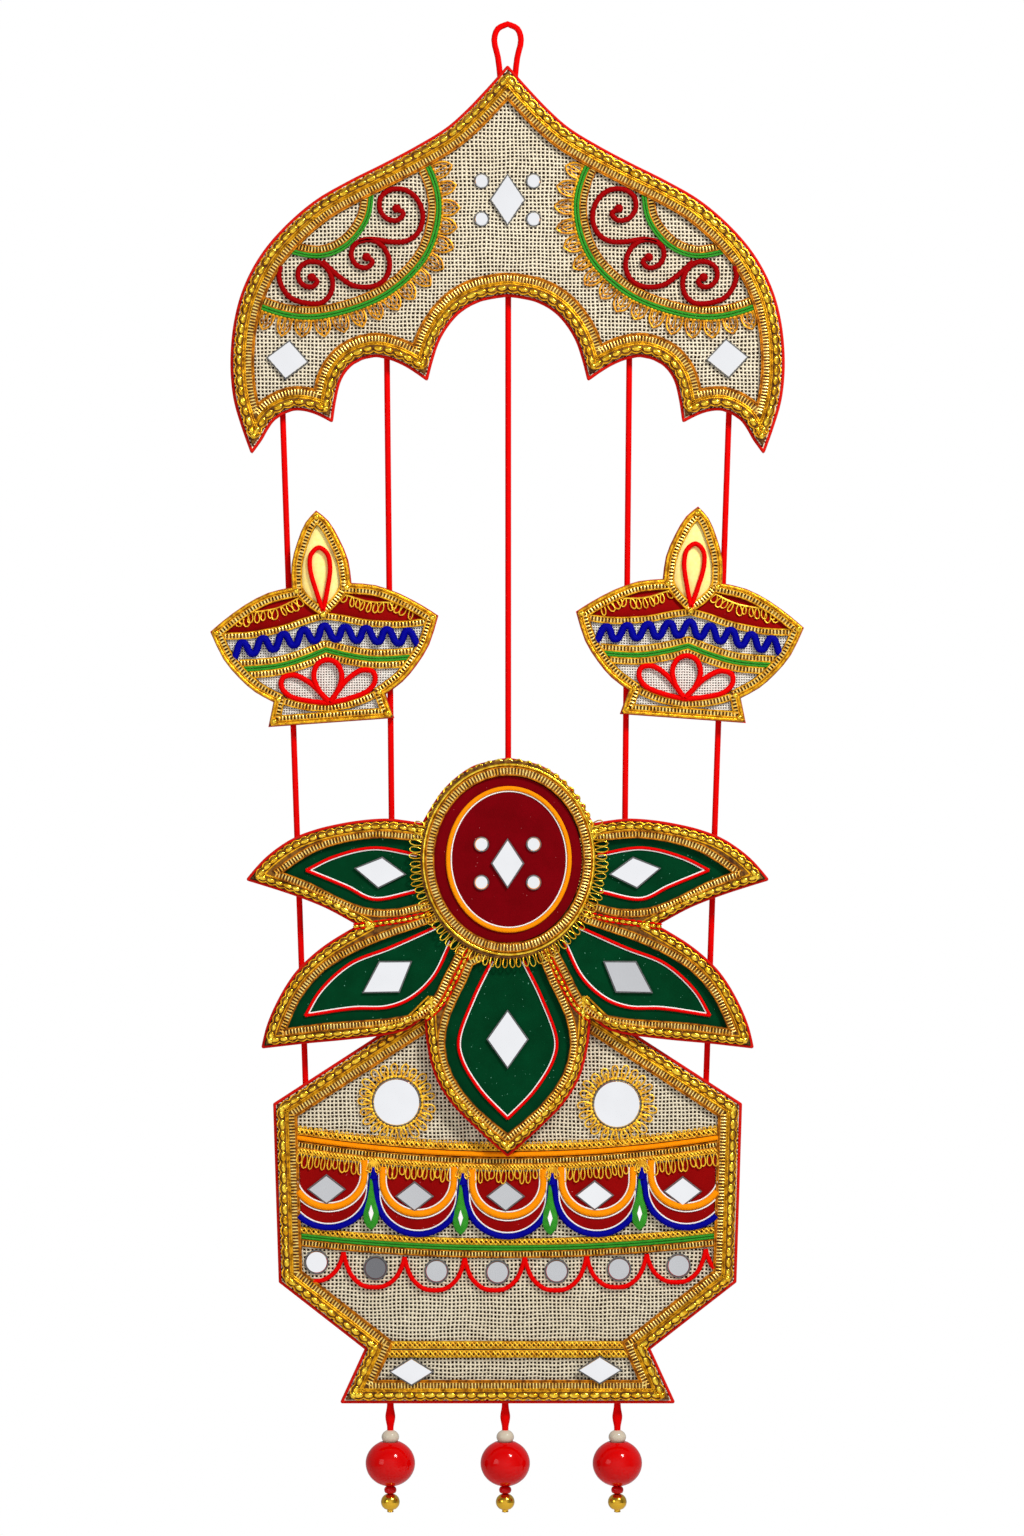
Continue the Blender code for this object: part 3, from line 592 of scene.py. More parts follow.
def cord_material(name, light, dark, turns=900.0, rough=0.6, sheen=0.15):
    """Twisted satin cord: fine slanting ridges, with painted shade in the grooves between them."""
    r = Recipe(name)
    spot = r.add("ShaderNodeSeparateXYZ", Vector=r.place).outputs
    slant = r.math("ADD", spot["Z"], r.math("MULTIPLY", spot["X"], 0.8))
    slant = r.math("ADD", slant, r.math("MULTIPLY", spot["Y"], 0.6))
    wave = r.math("SINE", r.math("MULTIPLY", slant, turns * 6.28))
    ridge_height_and_groove_shade = r.math("MULTIPLY", r.math("ADD", wave, 1.0), 0.5)
    # Painted shade: the colour is darker in the grooves between the ridges, with random tone from noise on top.
    tone = r.math("ADD", r.math("MULTIPLY", ridge_height_and_groove_shade, 0.35), r.math("MULTIPLY", r.noise(600.0, 2.0), 0.65))
    r.bump(ridge_height_and_groove_shade, 0.35, 0.0002)
    return r.set(Base_Color=r.mix(tone, dark, light), Roughness=rough, Specular_IOR_Level=sheen)


def velvet_material(name, deep, light, speck):
    """Short pile: two deep tones in soft patches, with a few bright fibres."""
    r = Recipe(name)
    nap = r.mix(r.noise(90.0, 3.0, 0.6), deep, light)
    lint = r.ramp(r.noise(1100.0, 0.0), (0.85, (0, 0, 0)), (0.87, (1, 1, 1)))
    r.bump(r.noise(3200.0, 2.0), 0.6, 0.0003)
    return r.set(Base_Color=r.mix(lint, nap, speck), Roughness=1.0, Specular_IOR_Level=0.05)


def plain_cloth(name, light, dark, scale=1400.0):
    """Fine plain weave seen as a soft grain."""
    r = Recipe(name)
    grain = r.noise(scale, 2.0)
    r.bump(grain, 0.5, 0.0002)
    return r.set(Base_Color=r.mix(grain, dark, light), Roughness=0.9, Specular_IOR_Level=0.15)


def mirror_material(name, tone, rough=0.04):
    r = Recipe(name)
    haze = r.noise(60.0, 2.0)
    r.bump(haze, 0.03, 0.001)
    return r.set(Base_Color=r.mix(haze, tuple(0.9 * v for v in tone), tone), Roughness=rough, Metallic=1.0)


jute = jute_material("jute weave", JUTE_PITCH, 0.145, (0.42, 0.30, 0.16), (1.0, 0.90, 0.68))
fine_jute = jute_material("fine jute weave", FINE_PITCH, 0.23, (0.70, 0.62, 0.52), (1.0, 0.95, 0.86))
rope_gold = metal_thread("rope gold", (1.0, 0.70, 0.06), (0.72, 0.34, 0.008), 0.15, 0.9, 0.25)
rim_gold = metal_thread("rim gold", (1.0, 0.52, 0.015), (0.45, 0.17, 0.004), 0.30, 0.7)
strip_gold = metal_thread("strip gold", (0.78, 0.38, 0.010), (0.28, 0.10, 0.002), 0.35, 0.8)
ladder_gold = metal_thread("ladder edge gold", (0.64, 0.22, 0.004), (0.20, 0.05, 0.001), 0.40, 0.5)
rung_pale = metal_thread("ladder rung pale gold", (1.0, 0.80, 0.26), (0.82, 0.40, 0.03), 0.30, 0.5)
lace_gold = metal_thread("lace gold", (0.84, 0.38, 0.012), (0.36, 0.12, 0.003), 0.40, 0.4)
fringe_gold = metal_thread("fringe gold", (1.0, 0.60, 0.04), (0.66, 0.30, 0.01), 0.35, 0.4)
# Painted shade: a near black brown for the braid bodies, the disc ring and the strips under trims, where the gaps
# between gold threads show.
thread_gap_shade = metal_thread("braid ground", (0.20, 0.08, 0.008), (0.05, 0.015, 0.003), 0.8, 0.0)
red_cloth = plain_cloth("red cloth", (0.70, 0.006, 0.001), (0.42, 0.003, 0.0))
red_cord = cord_material("red satin cord", (0.80, 0.0, 0.0), (0.55, 0.0, 0.0), sheen=0.03)
scroll_red = cord_material("dark red cord", (0.34, 0.0, 0.001), (0.18, 0.0, 0.0), 700.0, 0.7, 0.04)
green_cord = cord_material("green cord", (0.05, 0.36, 0.03), (0.008, 0.12, 0.006), sheen=0.05)
orange_cord = cord_material("orange cord", (1.0, 0.34, 0.0), (0.78, 0.16, 0.0), sheen=0.04)
blue_cord = cord_material("blue cord", (0.0, 0.0, 0.32), (0.0, 0.0, 0.13), sheen=0.04)
white_cord = cord_material("white cord", (0.95, 0.93, 0.90), (0.75, 0.72, 0.68))
green_velvet = velvet_material("green velvet", (0.0, 0.020, 0.005), (0.0, 0.050, 0.015), (0.1, 0.3, 0.2))
maroon_velvet = velvet_material("maroon velvet", (0.11, 0.0, 0.001), (0.20, 0.0, 0.003), (0.6, 0.2, 0.2))
wing_velvet = velvet_material("red velvet", (0.18, 0.001, 0.001), (0.30, 0.002, 0.002), (0.6, 0.2, 0.2))
flame_satin = plain_cloth("flame satin", (0.98, 0.84, 0.36), (0.92, 0.68, 0.16), 500.0)
silver = mirror_material("mirror", (0.95, 0.96, 0.97))
# Grey and dark glass: their colour is painted reflection, the darker surroundings that some pieces mirror.
painted_grey_reflection = mirror_material("dull mirror", (0.62, 0.63, 0.64), 0.15)
painted_dark_reflection = mirror_material("dark mirror", (0.20, 0.20, 0.21), 0.15)
mirror_edge = plain_cloth("ground glass edge", (0.16, 0.16, 0.16), (0.05, 0.05, 0.05))
print("finishes", len(bpy.data.materials))

# %% [markdown]
# ## Faces and boards
# The frame's boards and face cloths already have their true shape, so they stay and only take a finish.


# %% Dress the frame's own nodes
def dress(node, material):
    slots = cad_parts[node].data.materials
    if len(slots):
        slots[0] = material
    else:
        slots.append(material)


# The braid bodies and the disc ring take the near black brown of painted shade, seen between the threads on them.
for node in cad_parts:
    for word, material in {
        "_board": red_cloth, "_jute": jute, "lamp_jute": fine_jute, "_braid": thread_gap_shade, "_velvet": green_velvet,
        "disc_ring": thread_gap_shade, "_valance": wing_velvet,
        "lotus_disc": maroon_velvet, "mirror": silver, "hanging_loop": red_cord, "drop_cord": red_cord,
    }.items():
        if word in node and not (word == "lotus_disc" and node != word):
            dress(node, material)

# %% [markdown]
# ## Cords
# Five satin cords, 3 mm thick, hang straight from the back of the arch. They are taut, so each is one nearly
# straight curve with its ends glued flat behind the boards.

# %% Suspension cords
CORD_RADIUS = 1.5
CORD_OVERLAP = 20.0
CORD_ENDS = {
    "cord_outer_left": ((-112.8, -192.5), (-101.3, -529.0)),
    "cord_inner_left": ((-60.5, -167.0), (-57.0, -511.0)),
    "cord_inner_right": ((61.0, -167.0), (57.8, -511.0)),
    "cord_outer_right": ((111.0, -192.5), (99.5, -529.0)),
}


def satin_cord(name, places):
    data = bpy.data.curves.new("satin_" + name, "CURVE")
    data.dimensions = "3D"
    data.bevel_depth = CORD_RADIUS * MM
    data.bevel_resolution = 4
    data.use_fill_caps = True
    spline = data.splines.new("POLY")
    spline.points.add(len(places) - 1)
    for point, place in zip(spline.points, places):
        point.co = (*[float(value) * MM for value in place], 1.0)
    spline.use_smooth = True
    obj = bpy.data.objects.new("satin_" + name, data)
    bpy.context.collection.objects.link(obj)
    data.materials.append(red_cord)
    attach(obj, "root")
    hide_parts(name)


for name, ((x0, z0), (x1, z1)) in CORD_ENDS.items():
    lean = (x1 - x0) / (z0 - z1)
    top = (x0 - lean * CORD_OVERLAP, 0, z0 + CORD_OVERLAP)
    bottom = (x1 + lean * CORD_OVERLAP, 0, z1 - CORD_OVERLAP)
    satin_cord(name, np.linspace(top, bottom, 30))
behind_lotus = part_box("lotus_board")[1].y / MM + 0.3 + CORD_RADIUS
straight = np.linspace((0.3, 0, -136.5), (0.3, behind_lotus, -366.0), 24)
satin_cord("cord_centre", np.vstack([(0.3, 0, -115.5), straight, (0.3, behind_lotus, -387.0)]))

# %% [markdown]
# ## The edge braid
# Two braids run round each big panel. Outside is a rope of puffed gold beads with a thread that bows out over the
# red cloth, and two thin strips beside it. Inside is a ladder: orange gold threads with pale rungs between them.
# Both are rows of small forms placed along the inset outline, which is how the loom repeats them. The red cloth that
# is rolled over the board's edge shows outside the braid, as a thread of its own.

# %% Rope and ladder round a panel
RED_RIM = 1.5                      # red cloth that shows outside the braid
BRAID_WIDTH = 9.8
RUNG_PITCH = 1.6
RUNG = 0.38                        # radius of a rung
LADDER_EDGE = 0.42                 # radius of a ladder's side threads


ROPE_PITCH = 5.2
ROPE_WIDTH = 2.5


def rope_braid(gold, rim, strip, sides, middle, depth):
    """The beaded rope: long beads, a bowed thread along their outer side and a flat strip along their inner side."""
    for side in inset(sides, middle):
        bead_row(gold, side, depth - 0.45, ROPE_PITCH, ROPE_WIDTH, 1.6)
        scalloped(rim, shift(side, -ROPE_WIDTH * 0.56), depth + 0.1, ROPE_PITCH, 1.0, 0.40)
        for gap in (0.6, 1.6):
            thread(strip, shift(side, ROPE_WIDTH * 0.5 + gap), depth + 0.1, 0.5, 6, flat=0.6)
        if np.linalg.norm(side[0] - side[-1]) > 1:
            ball(gold, side[0], depth - 0.6, (0, 1), (3.4, 3.2, 2.4), sides=10)


EDGE_RADIUS = 0.95                 # of the rolled cloth


def turned_edge(name, sides, depth):
    """The red cloth that is rolled over the edge of a board and shows outside the braid."""
    edge = Pile()
    for side in inset(sides, 0.45):
        thread(edge, side, depth, EDGE_RADIUS, 8)
        ball(edge, side[0], depth, (0, 1), (2 * EDGE_RADIUS,) * 3, sides=10)
    piece(name + "_turned_edge", edge, red_cloth, "red_cloth")


def ladder_braid(edge, rung, sides, middle, width, depth):
    """The ladder: two threads with bowed rungs between them, and a second thread along its inner side."""
    for side in inset(sides, middle):
        rung_row(rung, side, depth + 0.1, RUNG_PITCH, width, RUNG, 0.35)
    for offset in (-0.5, 0.5, 0.72):
        for side in inset(sides, middle + offset * width):
            thread(edge, side, depth - 0.05, LADDER_EDGE, 6)


def ladder_pieces(name, edge, rung, end=""):
    piece(name + "_ladder_edges" + end, edge, ladder_gold, "gold_braid")
    piece(name + "_ladder_rungs" + end, rung, rung_pale, "gold_braid")


def edge_braid(name, sides, depth):
    gold, rim, strip, edge, rung = piles(5)
    rope_braid(gold, rim, strip, sides, RED_RIM + 2.5, depth)
    ladder_braid(edge, rung, sides, RED_RIM + 7.1, 3.6, depth + 0.5)
    piece(name + "_rope_beads", gold, rope_gold, "gold_braid")
    piece(name + "_rope_rim", rim, rim_gold, "gold_braid")
    piece(name + "_rope_strip", strip, strip_gold, "gold_braid")
    ladder_pieces(name, edge, rung)


edge_braid("arch", ARCH, BRAID_TOP)
edge_braid("pot", POT, BRAID_TOP)
turned_edge("arch", ARCH, JUTE + 0.7)
turned_edge("pot", POT, JUTE + 0.7)
turned_edge("lotus", LOTUS, VELVET + 1.6)

# %% [markdown]
# ## Trims inside the panels
# Inside its border every panel carries lines of cord, ladder braid and loop lace. Each is drawn as a line first and
# then cut off where it meets the border, as the real pieces are tucked under the edge braid.


# %% Lines inside a room, ladders, double cords and knotted braid
def joined(sides):
    return np.vstack([side[:-1] for side in sides])


def inside(points, polygon):
    a, b = polygon, np.roll(polygon, -1, axis=0)
    x, z = points[:, 0, None], points[:, 1, None]
    crosses = (a[:, 1] > z) != (b[:, 1] > z)
    at = a[:, 0] + (z - a[:, 1]) * (b[:, 0] - a[:, 0]) / (b[:, 1] - a[:, 1] + 1e-12)
    return (crosses & (x < at)).sum(axis=1) % 2 == 1


def trimmed(line, room, step=1.0):
    """The longest stretch of a line that lies inside the room."""
    line = evenly(line, max(3, int(length_along(line)[-1] / step) + 2))
    good = [*inside(line, room), False]
    best, start = (0, 0), None
    for k, state in enumerate(good):
        if state and start is None:
            start = k
        if not state and start is not None:
            best = max(best, (k - start, start))
            start = None
    return line[best[1]:best[1] + best[0]]


def ladder(edge, rung, line, width, depth, pitch=RUNG_PITCH, thick=RUNG, rim=LADDER_EDGE):
    rung_row(rung, line, depth + 0.2, pitch, width, thick, 0.35)
    for offset in (-0.5, 0.5):
        thread(edge, shift(line, offset * width), depth - 0.05, rim, 6)


def double_cord(pile, line, radius, depth):
    for offset in (-1.1, 1.1):
        thread(pile, shift(line, offset * radius), depth, radius, 8)


def knot_braid(pile, line, width, depth, pitch=2.4, thick=0.38):
    """Two sets of slanting threads that cross, between two edge threads."""
    for lean, lift in ((0.9, 0.0), (-0.9, 0.4)):
        rung_row(pile, line, depth - lift, pitch, width, thick, 0.4, lean)
    for offset in (-0.5, 0.5):
        thread(pile, shift(line, offset * width), depth, thick * 0.9, 5)


def ribbon(pile, line, low, high, back, front):
    """A flat strip under a trim, between two distances from its line. Its near black finish is painted shade between
    the trim's threads.
    """
    edges = [(low, back), (low, front), (high, front), (high, back)]
    points = np.stack([raised(shift(line, offset), depth) for offset, depth in edges], axis=1).reshape(-1, 3)
    last = len(points) - 4
    pile.add(points, grid_faces(len(line), 4) + [(3, 2, 1, 0), (last, last + 1, last + 2, last + 3)])


def petal_row(pile, line, depth, pitch, reach, radius, side):
    """Lace petals side by side: nested pointed arcs with a fan of threads inside."""
    for place, run in zip(*stations(line, pitch)):
        away = np.array([-run[1], run[0]]) * side
        tall, wide = 1 + 0.1 * (rng.random(2) - 0.5) * 2
        slant = (rng.random() - 0.5) * 0.12

        def spot(across, out):
            return place + run * (across * wide * pitch + slant * out * reach) + away * out * tall * reach

        t = np.linspace(0, pi, 13)
        for scale in (1.0, 0.70):
            out = scale * (0.88 * np.sin(t) ** 0.8 + 0.12 * (1 - abs(np.cos(t))) ** 3)
            across = np.cos(t) * 0.5 * scale * (0.8 + 0.2 * np.sin(t))
            line_of = np.array([spot(a, b) for a, b in zip(across, out)])
            thread(pile, line_of, depth - 0.3 * np.sin(t), radius * scale ** 1.5, 5)
        for across in (-0.12, 0.12):
            fan = np.array([spot(across * 0.2, 0.05), spot(across * 0.8, 0.5), spot(across, 0.92)])
            thread(pile, fan, depth, radius * 0.6, 5)


ARCH_ROOM = joined(inset(ARCH, RED_RIM + BRAID_WIDTH - 0.6))
POT_ROOM = joined(inset(POT, RED_RIM + BRAID_WIDTH - 0.6))
LAID = JUTE - 0.9                  # middle of a thread laid on the jute
print("arch room", round(abs(area_of(ARCH_ROOM)) / 100), "square centimetres")

# %% [markdown]
# ## Medallions and scrolls
# Each end of the arch has two arcs of trim that meet the border. The big one has a ladder braid inside, a green
# double cord on the line and loop lace outside. The small one is the same without lace. Between them a dark red
# cord is curled into three scrolls. Each petal of the lace is two nested arcs with a fan of threads inside, which
# is how its thread really runs.

# %% Arch medallions
OUTER_ARC = ((47.0, -62.0), (39.5, -71.5), (34.4, -91.0), (40.7, -115.0), (59.0, -133.6), (83.0, -143.6),
             (103.0, -146.0), (123.0, -141.0), (134.0, -134.0))
INNER_ARC = ((68.5, -74.0), (68.2, -85.5), (70.8, -98.0), (80.3, -110.0), (92.3, -115.3), (107.0, -113.6),
             (118.0, -108.0))
LACE_PITCH = 8.8
CURL = ((0, 0), (3.4, -2.4), (0.8, -5.7), (-4.6, -5.2), (-8.4, -0.4), (-7.8, 5.6), (-3.0, 9.4), (3.7, 9.5),
        (9.4, 5.8), (12.7, -0.9), (12.8, -7.1), (9.9, -13.0), (4.2, -16.4))
SCROLLS = (                        # inner end of each curl on the left, its size and the places of its tail
    ((-55.5, -91.9), 1.0, ((-3.5, -16.6), (-12.5, -15.3), (-19.0, -16.6))),
    ((-70.5, -116.2), 0.88, ((-6.0, -14.4), (-12.7, -10.5), (-18.0, -6.0), (-22.2, -2.0))),
    ((-97.9, -126.3), 0.80, ((-9.4, -10.9), (-14.2, -6.0), (-16.4, 0.4), (-15.6, 5.6))),
)

for side, flip in (("left", -1), ("right", 1)):
    green, edge, rung, lace, scroll, ground = piles(6)
    outer = trimmed(smooth(OUTER_ARC) * (flip, 1), ARCH_ROOM)
    inner = trimmed(smooth(INNER_ARC) * (flip, 1), ARCH_ROOM)
    for line, radius, gap in ((outer, 0.68, 3.3), (inner, 0.62, 3.2)):
        double_cord(green, line, radius, LAID - 0.2)
        ladder(edge, rung, shift(line, flip * gap), 3.2, LAID)
    base = shift(outer, -flip * 1.9)
    bead_row(lace, base, LAID, 2.0, 1.5, 1.4)
    petal_row(lace, base, LAID, LACE_PITCH, 8.6, 0.52, -flip)
    # A dark strip under each ladder and cord: painted shade between their threads.
    for line in (outer, inner):
        low, high = sorted((flip * 1.2, flip * 5.2))
        ribbon(ground, line, low, high, JUTE, JUTE - 0.25)
    for start, size, tail in SCROLLS:
        places = [(a * size + start[0], b * size + start[1]) for a, b in CURL]
        places += [(a + start[0], b + start[1]) for a, b in tail]
        line = trimmed(smooth(places, 0.7) * (-flip, 1), ARCH_ROOM, 0.7)
        thread(scroll, line, LAID - 0.3, 1.32, 10)
        ball(scroll, line[0], LAID - 0.5, (1, 0), (4.6, 4.4, 3.4), 7, 12)
    piece("medallion_green_cord_" + side, green, green_cord, "green_cord", ["arch_half_round_" + side])
    ladder_pieces("medallion", edge, rung, "_" + side)
    piece("medallion_lace_" + side, lace, lace_gold, "gold_lace", ["arch_medallion_" + side])
    piece("medallion_ground_" + side, ground, thread_gap_shade, "gold_braid")
    piece("scrolls_" + side, scroll, scroll_red, "scroll_cord", ["arch_scroll_" + side])

# %% [markdown]
# ## Lamps
# Each lamp is drawn once, upright, and then placed twice: turned a little to the left, and mirrored to the right.
# The flame is yellow satin with a red loop of cord. The bowl has maroon wings with a garland of gold loops, a blue
# zigzag of cord, a green double cord between two ladders, and three red petals of cord over the foot.

# %% Lamp pieces in their own upright frame
LAMP_PLACES = {"left": ((-92.0, -295.5), 4.1, 1), "right": ((91.5, -293.5), -4.1, -1)}


def turn_by(line, degrees):
    c, s = cos(radians(degrees)), sin(radians(degrees))
    return np.column_stack([line[:, 0] * c - line[:, 1] * s, line[:, 0] * s + line[:, 1] * c])


def placed(pile, side):
    """A copy of an upright pile at its lamp's place."""
    centre, lean, flip = LAMP_PLACES[side]
    copy = Pile()
    points = np.vstack(pile.points) * (flip, 1, 1)
    flat = turn_by(points[:, [0, 2]], lean) + centre
    copy.add(np.column_stack([flat[:, 0], points[:, 1], flat[:, 1]]), pile.faces)
    return copy


centre, lean, _ = LAMP_PLACES["left"]
LAMP_SIDES = [turn_by(side - centre, -lean) for side in LAMP]
LAMP_RIM = 0.4
LAMP_BRAID = 5.2
LAMP_RUNGS = (1.7, 0.46, 0.42)      # pitch and radius of the rungs, radius of the side threads
LAMP_ROOM = joined(inset(LAMP_SIDES, LAMP_RIM + LAMP_BRAID - 0.8))
LAMP_TOP = front_of("lamp_braid_left")


def both(places):
    """A line from its right half, given from the middle outward."""
    right = smooth(places)
    return np.vstack([right[::-1] * (-1, 1), right[1:]])


FLAME = both(((0, 52.0), (5.7, 46.5), (10.5, 38.0), (14.0, 28.0), (14.6, 20.0), (12.6, 11.5), (7.5, 5.0), (0, -1.0)))
WING_LINE = both(((0, 0.0), (9, -1.8), (20, -4.8), (27, -5.9), (38, -7.0), (54, -6.4)))
GREEN_LINE = both(((0, -17.0), (10, -20.2), (22, -23.0), (31, -23.7), (45, -23.6)))
FOOT_LINE = both(((0, -46.2), (12, -44.6), (27, -39.6)))
WING = ((0, -1), (9, -2.5), (20, -5.5), (38, -7.5), (52, -7), (54, -3.5), (46, 1.5), (36, 7), (26, 11), (12, 13.5),
        (7, 6))
PETAL = ((0, -43.2), (4, -38.5), (9.5, -32.6), (17, -28.4), (22.6, -29.6), (23.4, -34.0), (19.6, -38.8), (9, -42.2),
         (0, -43.6))
MIDDLE_PETAL = ((-0.5, -43.0), (-5.2, -36.5), (-7.0, -29.5), (-4.6, -23.8), (0, -22.0), (4.6, -23.8), (7.0, -29.5),
                (5.2, -36.5), (0.5, -43.0))
FLAME_LOOP = ((0, 2.5), (-2.6, 12), (-5.0, 24.0), (-4.0, 31.0), (0, 34.2), (4.0, 31.0), (5.0, 24.0), (2.6, 12),
              (0, 2.5))
FLAME_PATCH = both(((0, 47.5), (4.2, 42.8), (8.6, 35.0), (11.2, 27.0), (11.6, 20.0), (9.8, 12.5), (5.6, 6.5),
                    (0, 1.5)))
GARLAND = ((11.0, 10.2), (16.0, 8.0), (23.0, 5.6), (31.0, 4.6), (38.0, 4.2), (46.0, 0.6))

lamp = {name: Pile() for name in ("rim", "edge", "rung", "satin", "wings", "loops", "red", "petals", "green", "wave",
                                  "knobs", "ground")}
for side in inset(LAMP_SIDES, LAMP_RIM + 0.85):
    thread(lamp["rim"], side, LAMP_TOP + 0.1, 0.85, 8)
for side in inset(LAMP_SIDES, LAMP_RIM + 3.4):
    ladder(lamp["edge"], lamp["rung"], side, 2.6, LAMP_TOP + 0.1, *LAMP_RUNGS)
flame = FLAME[:-1] if area_of(FLAME) > 0 else FLAME[::-1][:-1]
low = flame[flame[:, 1] < 17]
for part in (low[low[:, 0] < 0.01], low[low[:, 0] > -0.01]):
    part = part[np.argsort(part[:, 1])]
    inward = shift(part, -2.4 if part[-1][0] < 0 else 2.4)
    # A dark strip under the ladder: painted shade between its threads.
    ribbon(lamp["ground"], inward, -1.9, 1.9, JUTE, LAMP_TOP + 0.7)
    ladder(lamp["edge"], lamp["rung"], evenly(inward, 24), 3.2, LAMP_TOP + 0.3, *LAMP_RUNGS[:2], 0.5)
patch(lamp["satin"], FLAME_PATCH[:-1], JUTE + 0.2, JUTE - 0.5)
for flip in (-1, 1):
    patch(lamp["wings"], np.array(WING) * (flip, 1), JUTE + 0.2, JUTE - 0.4)
    loop_row(lamp["loops"], smooth(GARLAND) * (flip, 1), JUTE - 0.9, 3.1, 5.0, 3.2, 0.32, -flip, 0.3)
    thread(lamp["loops"], smooth(GARLAND) * (flip, 1), JUTE - 0.9, 0.42, 5)
    thread(lamp["petals"], smooth(PETAL, 0.8) * (flip, 1), JUTE - 1.4, 1.35, 10)
thread(lamp["petals"], smooth(MIDDLE_PETAL, 0.8), JUTE - 1.9, 1.35, 10)
thread(lamp["red"], smooth(FLAME_LOOP, 0.8), JUTE - 1.6, 1.2, 10)
for line, width in ((WING_LINE, 2.8), (shift(GREEN_LINE, 3.0), 2.9), (shift(GREEN_LINE, -3.0), 2.9), (FOOT_LINE, 3.0)):
    line = trimmed(line, LAMP_ROOM, 0.7)
    # A dark strip under the ladder: painted shade between its threads.
    ribbon(lamp["ground"], line, -width / 2, width / 2, JUTE, JUTE - 0.75)
    ladder(lamp["edge"], lamp["rung"], line, width, JUTE - 1.1, *LAMP_RUNGS)
double_cord(lamp["green"], trimmed(GREEN_LINE, LAMP_ROOM, 0.7), 0.62, JUTE - 1.3)
WAVE_LENGTH = 10.4
x = np.linspace(-48, 48, 400)
phase = 2 * pi * x / WAVE_LENGTH
wave = np.column_stack([x, -8.2 - 0.133 * abs(x) + 3.6 * (np.cos(phase) - 0.10 * np.cos(3 * phase))])
thread(lamp["wave"], trimmed(wave, LAMP_ROOM, 0.4), JUTE - 1.7, 1.8, 10, flat=0.9)
for corner in inset(LAMP_SIDES, LAMP_RIM + 2.2):
    if np.linalg.norm(corner[0] - corner[-1]) > 1:
        ball(lamp["knobs"], corner[0], LAMP_TOP - 0.6, (1, 0), (3.0, 3.0, 2.2), sides=10)
ball(lamp["knobs"], (0, 0.6), LAMP_TOP - 0.8, (1, 0), (3.4, 3.4, 2.2), sides=10)

# The ground pieces are the dark strips under the ladders: painted shade.
LAMP_FINISHES = {
    "rim": (rim_gold, "gold_braid"), "edge": (rim_gold, "gold_braid"), "rung": (rung_pale, "gold_braid"),
    "satin": (flame_satin, "flame_satin"), "wings": (wing_velvet, "maroon_velvet"),
    "loops": (fringe_gold, "gold_lace"), "ground": (thread_gap_shade, "gold_braid"),
    "red": (red_cord, "red_cord"), "petals": (red_cord, "red_cord"), "green": (green_cord, "green_cord"),
    "wave": (blue_cord, "blue_cord"), "knobs": (rope_gold, "gold_braid"),
}
for side in LAMP_PLACES:
    for name, (material, slot) in LAMP_FINISHES.items():
        hidden = ["lamp_wave_" + side] if name == "wave" else []
        piece("lamp_" + name + "_piece_" + side, placed(lamp[name], side), material, slot, hidden)

# %% [markdown]
# ## Lotus
# Ladder braid frames each leaf of velvet, the beaded rope runs round the outside, and a red and gold rope covers the
# seam between two leaves. A fine red cord with a white thread inside it repeats the leaf's shape on the velvet.

# %% Lotus braids and lines
DISC_CENTRE = (0.6, -417.0)
ROPE_STARTS = -398                 # height under which the rope shows, below the disc's own ring
gold, rim, edge, rung = piles(4)
leaves = [line for line in windows if np.linalg.norm(line.mean(axis=0) - DISC_CENTRE) > 12]
for leaf in leaves:
    for side in inset(sides_of(leaf), -2.1):
        ladder(edge, rung, side, 3.2, LOTUS_TOP - 0.3)
for side in inset(LOTUS, RED_RIM + 1.8):
    middle = side[len(side) // 2]
    if middle[1] < ROPE_STARTS:
        bead_row(gold, side, LOTUS_TOP - 0.6, 4.6, 2.3, 1.5)
        scalloped(rim, shift(side, -1.2), LOTUS_TOP + 0.1, 4.6, 0.9, 0.38)
        thread(rim, shift(side, 1.8), LOTUS_TOP, 0.5, 6, flat=0.7)
        ball(gold, side[0], LOTUS_TOP - 0.7, (0, 1), (3.2, 3.0, 2.2), sides=10)
SEAMS = (
    ((77.0, -450.6), (62.0, -448.6), (50.0, -446.8), (38.0, -444.0)),
    ((17.0, -458.0), (26.0, -476.5), (34.0, -490.5), (41.0, -496.5)),
)
seam_red = Pile()
for seam in SEAMS:
    for flip in (-1, 1):
        line = smooth(seam) * (flip, 1)
        bead_row(gold, line, LOTUS_TOP - 0.5, 3.0, 2.0, 2.0)
        for offset in (-1.2, 1.2):
            bead_row(seam_red, shift(line, offset), LOTUS_TOP - 0.2, 3.4, 1.0, 1.0)
piece("lotus_rope_beads", gold, rope_gold, "gold_braid")
piece("lotus_rope_rim", rim, rim_gold, "gold_braid")
piece("lotus_seam_red", seam_red, red_cord, "red_cord")
ladder_pieces("lotus", edge, rung)

LEAF_LINES = (                     # on the right-hand side, outward from the disc, round the tip and back
    ((45.0, -414.6), (67.0, -411.3), (87.0, -415.9), (100.5, -422.5)),
    ((100.5, -422.5), (80.2, -430.9), (67.0, -437.0), (46.0, -433.3)),
    ((36.0, -450.8), (58.5, -460.9), (78.5, -469.0), (93.5, -482.5), (101.0, -495.0)),
    ((101.0, -495.0), (77.0, -491.5), (60.1, -490.9), (48.5, -486.5), (37.0, -475.9), (28.0, -458.0)),
    ((8.0, -467.5), (17.0, -485.9), (24.5, -507.5), (22.7, -517.5), (13.5, -532.5), (0, -546.5)),
)
red, white = piles(2)
for places in LEAF_LINES:
    for flip in (-1, 1):
        line = smooth(places) * (flip, 1)
        thread(red, line, VELVET - 0.6, 0.75, 8)
        thread(white, shift(line, -flip * 0.95), VELVET - 0.35, 0.36, 6)
piece("leaf_red_lines", red, red_cord, "red_cord")
